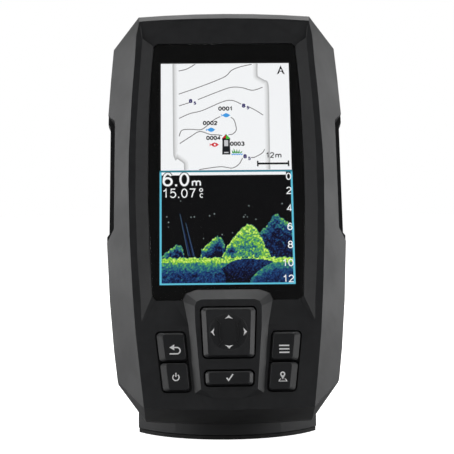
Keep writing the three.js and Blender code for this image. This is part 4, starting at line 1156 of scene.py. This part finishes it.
@dataclass
class SonarView:
    """Lower half of the picture: echoes of the bottom, readings and a depth scale.

    floor is the top of the bright bottom and band its thickness. Each mound has an outline, the
    echo at its crest and the one at its foot, mound_fade below. pit is the shadow in the biggest
    mound: its middle, its two half sizes and its strength. dome is the roof of the dark hollow:
    its middle, half width, foot and rise. bank and pit_side are its right and left walls.
    """

    display: Display
    left: float = -25.9
    right: float = 26.2
    top: float = -1.6
    bottom: float = -46.7
    step: float = 0.3
    floor: float = -36.1
    seed: int = 7
    band: float = 2.0
    mounds: tuple[tuple[Point, ...], ...] = (
        ((-26.2, -35.8), (-23.8, -33.5), (-22.3, -32.4), (-19.8, -30.6), (-18.2, -31.2), (-17.3, -33),
         (-17, -36.4)),
        ((-10.4, -36.4), (-10.2, -33), (-8, -30.9), (-4.8, -27.8), (-3, -27.1), (-1.8, -28.7),
         (-0.9, -31), (-0.8, -36.4)),
        ((13, -36.4), (13.2, -25.7), (16.1, -22.7), (18.7, -18.5), (19.8, -18.1), (21.5, -19.7),
         (24, -21.6), (27, -23.6)),
        ((-2.4, -36.4), (0.2, -31.3), (2.7, -27.6), (5.6, -24.2), (7.8, -22.5), (9.4, -22.4),
         (11.4, -23.8), (12.8, -26.1), (14.5, -30.3), (16.3, -33.6), (17.6, -36.8)),
    )
    mound_levels: tuple[tuple[float, float], ...] = ((0.58, -0.3), (0.64, -0.1), (0.46, 0.08), (0.82, 0.58))
    mound_fade: float = 7.5
    pit: tuple[float, float, float, float, float] = (1.6, -33.4, 1.7, 1.4, 0.62)
    dome: tuple[float, float, float, float] = (8.2, 10.5, -38.7, 2.0)
    bank: tuple[tuple[float, ...], ...] = (
        (8, 8.8, 9.3, 12, 15, 17.9, 27), (-48, -46.8, -44.8, -42, -39.9, -38.4, -38.2),
    )
    pit_side: tuple[tuple[float, ...], ...] = ((-47, -44, -41, -38.2, -37), (-0.8, -0.6, -2.3, 0.9, 4))
    traces: tuple[tuple[Point, Point], ...] = (
        ((-18.6, -17.7), (-14.9, -35.5)), ((-16.3, -21.5), (-13.2, -35.5)),
    )
    glints: tuple[tuple[Point, Point], ...] = (
        ((-18.6, -17.9), (-15.4, -35.4)), ((-16.3, -21.7), (-13.1, -35.4)),
    )
    scale: tuple[tuple[str, float], ...] = (
        ("0", -3.8), ("2", -9.8), ("4", -17.2), ("6", -25), ("8", -32.5), ("10", -40), ("12", -46.5),
    )
    specks: tuple[Point, ...] = (
        (-18.3, -12.4), (-23.8, -19), (-23.1, -21.3), (-23.2, -23.3), (-12.9, -19.1), (-6.8, -18.7),
        (-9.3, -28.2), (8.9, -14.6), (6.8, -19.3), (8.2, -19.3), (11.6, -20.3), (22.2, -13.8), (2.2, -25.9),
        (-1.9, -26.6), (-4.9, -17.9), (7.4, -18.4), (-14.2, -19.2),
    )

    def build(self) -> None:
        """Makes the view's layers."""
        self.build_water()
        border = Artwork(self.display.line_depth)
        wide = self.display.frame_width
        half, low, high = self.display.half_width - 0.3, -47.3, self.display.split - 0.1
        for left, bottom, right, top in ((-half, low, -half + wide, high), (half - wide, low, half, high),
                                         (-half, low, half, low + wide)):
            border.plate(box_outline(left, bottom, right, top))
        border.show("sonar_frame", Lit("frame_cyan", (0.13, 0.58, 0.76)))
        head = Artwork(self.display.line_depth - 0.01).plate(box_outline(-half, high - wide, half, high))
        head.show("sonar_frame_top", Lit("frame_teal", (0.03, 0.24, 0.33)))
        strip = Artwork(self.display.line_depth).plate(box_outline(self.left, -1.45, 24, -0.2))
        strip.show("surface_strip", CHART_WHITE)
        self.build_readings()
        self.build_traces()

    def echo(self, x: np.ndarray, z: np.ndarray) -> np.ndarray:
        """Strength of the echo over the view, from 0 for clear water to 1.

        Args:
            x: Places to the right.
            z: Places up the face.

        Returns:
            The strength at each place.
        """
        chance = np.random.default_rng(self.seed)
        rough = chance.normal(0, 1, x.shape)
        soft = (rough + np.roll(rough, 1, 0) + np.roll(rough, 1, 1) + np.roll(rough, (1, 1), (0, 1))) / 2
        strength = np.zeros(x.shape)
        for outline, (crest, foot) in zip(self.mounds, self.mound_levels):
            xs, zs = np.array(outline).T
            wobble = 0.25 * np.sin(x * 3.1 + zs[0]) + 0.15 * soft
            ridge = np.interp(x, xs, zs, left=-99, right=-99) + wobble
            inside = (z < ridge) & (z > self.floor)
            below = np.clip((ridge - z) / self.mound_fade, 0, 1)
            level = crest + (foot - crest) * below + 0.13 * soft + 0.06 * np.sin(1.9 * z + 1.3 * x)
            rim = np.exp(-((ridge - z) / 0.7) ** 2)
            strength = np.where(inside, np.clip(level + 0.25 * rim, 0.06, 1), strength)
        under = self.floor - self.band
        bright = (z <= self.floor + 0.35 * np.sin(x * 2.3) * np.sin(x * 0.9)) & (z > under)
        strength = np.where(bright, 0.86 + 0.1 * soft, strength)
        fade = 0.62 - 0.4 * np.clip((under - z) / 5, 0, 1)
        strength = np.where(z <= under, fade + 0.08 * soft, strength)
        across, up, wide, high, dark = self.pit
        pit = dark * np.exp(-(((x - across) / wide) ** 2) - ((z - up) / high) ** 2)
        strength = np.where(z > self.floor, np.clip(strength - pit, 0, 1), strength)
        middle, half, foot, rise = self.dome
        reach = np.clip(1 - ((x - middle) / half) ** 2, 0, None)
        lid = foot + rise * np.sqrt(reach)
        slope = np.where(x > 8, np.interp(x, *self.bank), -99)
        hollow = (z < lid) & (reach > 0) & (z > slope) & (x > np.interp(z, *self.pit_side)) & (x < 17.9)
        gloom = 0.03 + 0.15 * np.clip((z + 45) / 6, 0, 1) + 0.06 * soft
        strength = np.where(hollow, gloom, strength)
        shoulder = (x > 8) & (z < slope + 0.2) & (z < under)
        bank_fade = 0.54 - 0.32 * np.clip((slope - z) / 4, 0, 1)
        return np.where(shoulder, bank_fade + 0.07 * soft, strength)

    def build_water(self) -> None:
        """The echo picture itself, a fine closed slab whose points store the echo strength."""
        columns = round((self.right - self.left) / self.step) + 1
        rows = round((self.top - self.bottom) / self.step) + 1
        xs = np.linspace(self.left, self.right, columns)
        zs = np.linspace(self.bottom, self.top, rows)
        x, z = np.meshgrid(xs, zs)
        strength = np.clip(self.echo(x, z), 0, 1)
        depth = self.display.picture_depth
        corners = [HEAD.place(a, b, depth) for a, b in zip(x.ravel(), z.ravel())]
        number = np.arange(rows * columns).reshape(rows, columns)
        faces = [(int(number[r, c]), int(number[r, c + 1]), int(number[r + 1, c + 1]), int(number[r + 1, c]))
                 for r in range(rows - 1) for c in range(columns - 1)]
        rim = [*number[0, :-1], *number[:-1, -1], *number[-1, :0:-1], *number[:0:-1, 0]]
        start = len(corners)
        for i in rim:
            corners.append(HEAD.place(x.flat[i], z.flat[i], depth + 0.1))
        count = len(rim)
        for i in range(count):
            j = (i + 1) % count
            faces.append((int(rim[j]), int(rim[i]), start + i, start + j))
        faces.append(tuple(start + i for i in reversed(range(count))))
        mesh = bpy.data.meshes.new("sonar_picture")
        mesh.from_pydata(corners, [], faces)
        values = [*strength.ravel(), *(float(strength.flat[i]) for i in rim)]
        mesh.attributes.new("echo", "FLOAT", "POINT").data.foreach_set("value", values)
        finish = Scale("echo_colours", "echo", (
            (0.0, (0.0015, 0.0015, 0.002)), (0.1, (0.004, 0.005, 0.03)), (0.3, (0.012, 0.05, 0.18)),
            (0.5, (0.03, 0.2, 0.19)), (0.68, (0.12, 0.42, 0.08)), (0.88, (0.42, 0.75, 0.05)),
            (1.0, (0.7, 0.9, 0.2)),
        ), speckle=0.3)
        add_piece("sonar_picture", mesh, finish, Body.HEAD)

    def build_readings(self) -> None:
        """White depth and temperature readings and the depth scale on the right."""
        ink = Artwork(self.display.label_depth)
        left, base, tall, stroke, wide, edge = -25.5, -6.2, 5.9, 0.86, 10.7, 0.3
        ink.lettering("6.0", left, base, tall, stroke, wide)
        shadow = Artwork(self.display.label_depth + LAYER)
        shadow.lettering("6.0", left - edge, base - edge, tall + 2 * edge, stroke + 2 * edge, wide + 2 * edge)
        shadow.show("reading_edge", Lit("edge_black", (0.002, 0.002, 0.003)))
        ink.lettering("m", -13.8, -6.2, 2.5, 0.56, 3.7)
        ink.lettering("15.07", -25.4, -11.1, 4, 0.46, 13.1)
        ink.ribbon(arc(-10.1, -7.8, 0.62, steps=16), 0.34, closed=True)
        ink.lettering("C", -10.7, -11.1, 1.9, 0.36, 1.6)
        for number, z in self.scale:
            width = 2.1 if len(number) == 1 else 4.3
            ink.lettering(number, 26.1 - width, z, 3.1, 0.42, width)
        ink.show("sonar_readings", Lit("reading_white", (0.97, 0.97, 0.97)))

    def build_traces(self) -> None:
        """Two slanted fish traces and the loose specks in the water."""
        trace = Artwork(self.display.line_depth)
        for (x0, z0), (x1, z1) in self.traces:
            trace.plate([(x0 - 0.12, z0), (x0 + 0.12, z0), (x1 + 0.5, z1), (x1 - 0.5, z1)])
        trace.show("fish_traces", Lit("trace_blue", (0.012, 0.025, 0.095), 0.6))
        glint = Artwork(self.display.line_depth - LAYER)
        for line in self.glints:
            glint.ribbon(list(line), 0.13)
        glint.show("trace_glints", Lit("trace_pale", (0.1, 0.2, 0.28), 0.6))
        speck = Artwork(self.display.line_depth)
        for i, (x, z) in enumerate(self.specks):
            speck.plate(arc(x, z, 0.17 + 0.04 * (i % 3), steps=7))
        speck.show("water_specks", Lit("speck_grey", (0.5, 0.6, 0.6), 0.3))


@dataclass
class Keypad:
    """The keys, their rounded edges and the symbols printed on them."""

    side_top: float = -4.8
    island_top: float = -6.5
    proud: float = 0.05
    stroke: float = 0.5
    dish_radius: float = 7.4
    dish_depth: float = 0.4
    dish_middle: float = -67.9
    arrow: tuple[Point, ...] = (
        (0, 0), (0.35, -0.5), (0.9, -1.0), (1.6, -1.5), (0.85, -1.4), (0, -1.15), (-0.85, -1.4),
        (-1.6, -1.5), (-0.9, -1.0), (-0.35, -0.5),
    )
    arrow_reach: tuple[tuple[float, float], ...] = ((90, 6.7), (0, 7.1), (270, 6.7), (180, 7.1))
    tick: tuple[Point, ...] = ((-1, -85.9), (-0.3, -86.9), (1.4, -84.5))
    bars: tuple[float, ...] = (-73.1, -74.45, -75.8)
    pin_base: tuple[Point, ...] = (
        (19.7, -86.1), (19.1, -86.5), (18.9, -87), (21.9, -87), (21.7, -86.5), (21.1, -86.1),
    )

    def symbols(self, top: float) -> Artwork:
        """Starts the printed symbols of a key whose top lies at the given depth."""
        return Artwork(top - self.proud, 2 * self.proud)

    def build(self) -> set[str]:
        """Makes the keys and their symbols. Returns the CAD nodes that they stand for."""
        edges = Edges(0.2, 24, 11)
        caps = (Body.BACK, Body.POWER, Body.MENU, Body.MARK, Body.ENTER)
        for body in caps:
            refine(body.value, body.value.replace("_key", "_cap"), KEY_BLACK, body, edges)
        self.build_rocker(edges)
        self.build_back()
        self.build_power()
        self.build_menu()
        self.build_mark()
        self.build_tick()
        return {body.value for body in (*caps, Body.ROCKER)}

    def build_rocker(self, edges: Edges) -> None:
        """Rocker cap with a shallow round dish and an arrow on each side."""
        mesh = clean_mesh("rocker_key", "rocker_cap")
        work = bmesh.new()
        bmesh.ops.create_uvsphere(work, u_segments=64, v_segments=32, radius=1)
        size = Matrix.Diagonal((self.dish_radius, self.dish_depth, self.dish_radius, 1))
        turn = Matrix.Rotation(math.pi / 2, 4, "X")
        middle = Matrix.Translation((0, self.island_top, self.dish_middle))
        bmesh.ops.transform(work, matrix=HEAD.matrix @ middle @ size @ turn, verts=work.verts)
        dish = bpy.data.meshes.new("dish")
        work.to_mesh(dish)
        work.free()
        carve(mesh, dish)
        mesh.shade_smooth()
        mesh.set_sharp_from_angle(angle=math.radians(edges.crease))
        piece = add_piece("rocker_cap", mesh, KEY_BLACK, Body.ROCKER, ("rocker_key",))
        flats = piece.modifiers.new("flat_faces", "WEIGHTED_NORMAL")
        flats.keep_sharp = True
        arrows = self.symbols(self.island_top + self.dish_depth * 0.45)
        for angle, reach in self.arrow_reach:
            run = Vector((math.cos(math.radians(angle)), math.sin(math.radians(angle))))
            side = Vector((-run.y, run.x))
            middle = Vector((0.1, self.dish_middle))
            arrows.plate([tuple(middle + run * (reach + v) + side * u) for u, v in self.arrow])
        arrows.build("rocker_arrows", KEY_INK, Body.ROCKER, Slot.KEY)
        self.build_chevrons()

    def build_chevrons(self) -> None:
        """Faint raised marks between the arrows."""
        art = Artwork(self.island_top - 0.02, 0.4)
        for across in (-1, 1):
            for along in (-1, 1):
                path = [(7, 4.6), (5.4, 5.8), (3.1, 3.3)] if along > 0 else [(7, 4.6), (4.9, 6.3), (2.5, 3.6)]
                art.ribbon([(0.1 + across * x, self.dish_middle + along * z) for x, z in path], 0.2)
            ring = [(3.2, 3.3), (3.5, 1.8), (3.5, -1.8), (3.2, -3.3)]
            art.ribbon([(0.1 + across * x, self.dish_middle + z) for x, z in smooth_path(ring, 4)], 0.2)
        art.build("rocker_marks", KEY_MARK, Body.ROCKER, Slot.KEY)

    def build_back(self) -> None:
        """Arrow that turns back to the left."""
        art = self.symbols(self.side_top)
        hook = [(-21.6, -73.5), (-19.9, -73.5), *arc(-19.9, -74.75, 1.25, 80, -80, 8), (-22.7, -76)]
        art.ribbon(hook, self.stroke)
        art.plate([(-22.8, -73.5), (-20.9, -72.3), (-20.9, -74.6)])
        art.build("back_symbol", KEY_INK, Body.BACK, Slot.KEY)

    def build_power(self) -> None:
        """Broken ring with an upright stroke."""
        art = self.symbols(self.side_top)
        art.ribbon(arc(-20.3, -85.2, 1.2, 125, 415, 20), 0.42)
        art.ribbon([(-20.3, -83.4), (-20.3, -85)], 0.42)
        art.build("power_symbol", KEY_INK, Body.POWER, Slot.KEY)

    def build_menu(self) -> None:
        """Three level bars."""
        art = self.symbols(self.side_top)
        for z in self.bars:
            art.plate(box_outline(19.3, z - 0.27, 23.2, z + 0.27))
        art.build("menu_symbol", KEY_INK, Body.MENU, Slot.KEY)

    def build_mark(self) -> None:
        """Map pin over a small base."""
        art = self.symbols(self.side_top)
        art.ribbon(arc(20.4, -84.3, 0.75, steps=16), 0.5, closed=True)
        art.plate([(19.6, -84.9), (21.2, -84.9), (20.4, -86.4)])
        art.ribbon(list(self.pin_base), 0.3)
        art.build("mark_symbol", KEY_INK, Body.MARK, Slot.KEY)

    def build_tick(self) -> None:
        """Tick on the enter key."""
        art = self.symbols(self.island_top)
        art.ribbon(list(self.tick), self.stroke)
        art.build("enter_symbol", KEY_INK, Body.ENTER, Slot.KEY)


@dataclass
class Mount:
    """Base, turret, tilt fastener, cradle and quick release."""

    base_edge: float = 0.5
    small_edge: float = 0.3

    def build(self) -> set[str]:
        """Makes the mount's finer pieces. Returns the CAD nodes that they stand for."""
        rows = (
            ("base_plate", "base_moulding", MOUNT_BLACK, Body.BASE, Slot.CASE, self.base_edge),
            ("swivel_turret", "turret_moulding", MOUNT_BLACK, Body.TURRET, Slot.CASE, self.base_edge),
            ("tilt_knob", "knob_grip", MOUNT_BLACK, Body.KNOB, Slot.CASE, self.base_edge),
            ("cradle", "cradle_moulding", MOUNT_BLACK, Body.HEAD, Slot.CASE, self.small_edge),
            ("release_lever", "lever_moulding", MOUNT_BLACK, Body.LEVER, Slot.CASE, self.small_edge),
            ("power_socket", "power_collar", MOUNT_BLACK, Body.HEAD, Slot.CASE, self.small_edge),
            ("transducer_socket", "transducer_collar", MOUNT_BLACK, Body.HEAD, Slot.CASE, self.small_edge),
            ("tilt_bolt", "tilt_bolt_turned", STEEL, Body.TURRET, Slot.STEEL, self.small_edge),
            ("swivel_nut", "swivel_nut_turned", STEEL, Body.BASE, Slot.STEEL, self.small_edge),
        )
        for node, name, finish, body, slot, edge in rows:
            refine(node, name, finish, body, Edges(edge, 30, 25))
        return {row[0] for row in rows}


@dataclass(frozen=True)
class SoftLight:
    """A large square light: its name, place in metres, length of its sides and power in watts."""

    name: str
    place: tuple[float, float, float]
    size: float
    power: float


@dataclass
class Studio:
    """Pale floor, soft lights and the camera."""

    floor_half: float = 4.0
    camera_place: tuple[float, float, float] = (-0.0105, -0.6368, 0.1021)
    forward: tuple[float, float, float] = (0.01773, 0.99942, -0.02909)
    roll: float = -0.46
    lens: float = 118.94
    sensor: float = 36.0
    target: tuple[float, float, float] = (0, 0, 0.09)
    surround: float = 0.06
    floor_glow: float = 0.98
    floor_unseen: float = 0.26
    lights: tuple[SoftLight, ...] = (
        SoftLight("side_left", (-0.95, 0.05, 0.2), 1.1, 9.8),
        SoftLight("side_right", (0.95, 0.05, 0.2), 1.1, 9.8),
        SoftLight("front_left", (-0.9, -0.74, 0.25), 0.8, 2.7),
        SoftLight("front_right", (0.9, -0.74, 0.25), 0.8, 2.7),
        SoftLight("front_low", (0, -1.4, 0.12), 0.5, 1.0),
        SoftLight("overhead", (0, 0.55, 1.1), 1.3, 16.0),
    )

    def build(self) -> None:
        """Sets up the whole studio."""
        bpy.context.scene.view_settings.view_transform = "Standard"
        self.build_floor()
        self.build_world()
        for light in self.lights:
            self.soft_light(light)
        self.build_camera()

    def build_floor(self) -> None:
        """Plain pale floor."""
        half = self.floor_half
        mesh = bpy.data.meshes.new("floor")
        corners = [(x, y, 0) for x, y in box_outline(-half, -half, half, half)]
        mesh.from_pydata(corners, [], [(0, 1, 2, 3)])
        floor = bpy.data.objects.new("floor", mesh)
        bpy.context.scene.collection.objects.link(floor)
        recipe = Recipe("pale_floor")
        cloud = recipe.effect(Effects.grain(), Scale=300.0, Cloud_Scale=4.0).outputs["Cloud"]
        tone = recipe.mix(cloud, (0.62, 0.62, 0.62), (0.6, 0.6, 0.6))
        seen = recipe.node("ShaderNodeLightPath").outputs["Is Camera Ray"]
        unseen = (self.floor_unseen,) * 3
        recipe.link(recipe.mix(seen, unseen, tone), recipe.shader.inputs["Base Color"])
        recipe.shader.inputs["Roughness"].default_value = 0.8
        recipe.link(recipe.mix(seen, (0, 0, 0), (1, 1, 1)), recipe.shader.inputs["Emission Color"])
        recipe.shader.inputs["Emission Strength"].default_value = self.floor_glow
        mesh.materials.append(recipe.made)

    def build_world(self) -> None:
        """White surround to the eye, and a dim one to what it lights."""
        world = bpy.data.worlds.new("studio")
        bpy.context.scene.world = world
        world.use_nodes = True
        nodes, links = world.node_tree.nodes, world.node_tree.links
        nodes.clear()
        output = nodes.new("ShaderNodeOutputWorld")
        mixing = nodes.new("ShaderNodeMixShader")
        ray = nodes.new("ShaderNodeLightPath")
        dim, bright = nodes.new("ShaderNodeBackground"), nodes.new("ShaderNodeBackground")
        dim.inputs["Strength"].default_value = self.surround
        for background in (dim, bright):
            background.inputs["Color"].default_value = (1, 1, 1, 1)
        links.new(ray.outputs["Is Camera Ray"], mixing.inputs[0])
        links.new(dim.outputs[0], mixing.inputs[1])
        links.new(bright.outputs[0], mixing.inputs[2])
        links.new(mixing.outputs[0], output.inputs["Surface"])

    def soft_light(self, light: SoftLight) -> None:
        """Adds a soft light that faces the target."""
        data = bpy.data.lights.new(light.name, "AREA")
        data.shape = "SQUARE"
        data.size = light.size
        data.energy = light.power
        lamp = bpy.data.objects.new(light.name, data)
        lamp.location = light.place
        lamp.rotation_euler = (Vector(self.target) - lamp.location).to_track_quat("-Z", "Y").to_euler()
        bpy.context.scene.collection.objects.link(lamp)

    def build_camera(self) -> None:
        """Camera straight in front of the base, a little above the middle of the head."""
        ahead = Vector(self.forward).normalized()
        right = ahead.cross(Vector((0, 0, 1))).normalized()
        above = right.cross(ahead)
        roll = math.radians(self.roll)
        across = right * math.cos(roll) + above * math.sin(roll)
        over = above * math.cos(roll) - right * math.sin(roll)
        turn = Matrix((across, over, -ahead)).transposed().to_4x4()
        data = bpy.data.cameras.new("camera")
        data.lens = self.lens
        data.sensor_width = self.sensor
        data.clip_end = 20.0
        camera = bpy.data.objects.new("camera", data)
        camera.matrix_world = Matrix.Translation(self.camera_place) @ turn
        bpy.context.scene.collection.objects.link(camera)
        bpy.context.scene.camera = camera


def main() -> None:
    """Builds the studio and every sub-assembly, then dresses what keeps its CAD shape."""
    logging.basicConfig(level=logging.INFO, format="%(message)s")
    Studio().build()
    done: set[str] = set()
    for part in (Case(), Display(), Keypad(), Mount()):
        done |= part.build()
    dress_rest(done)


if __name__ == "__main__":
    main()
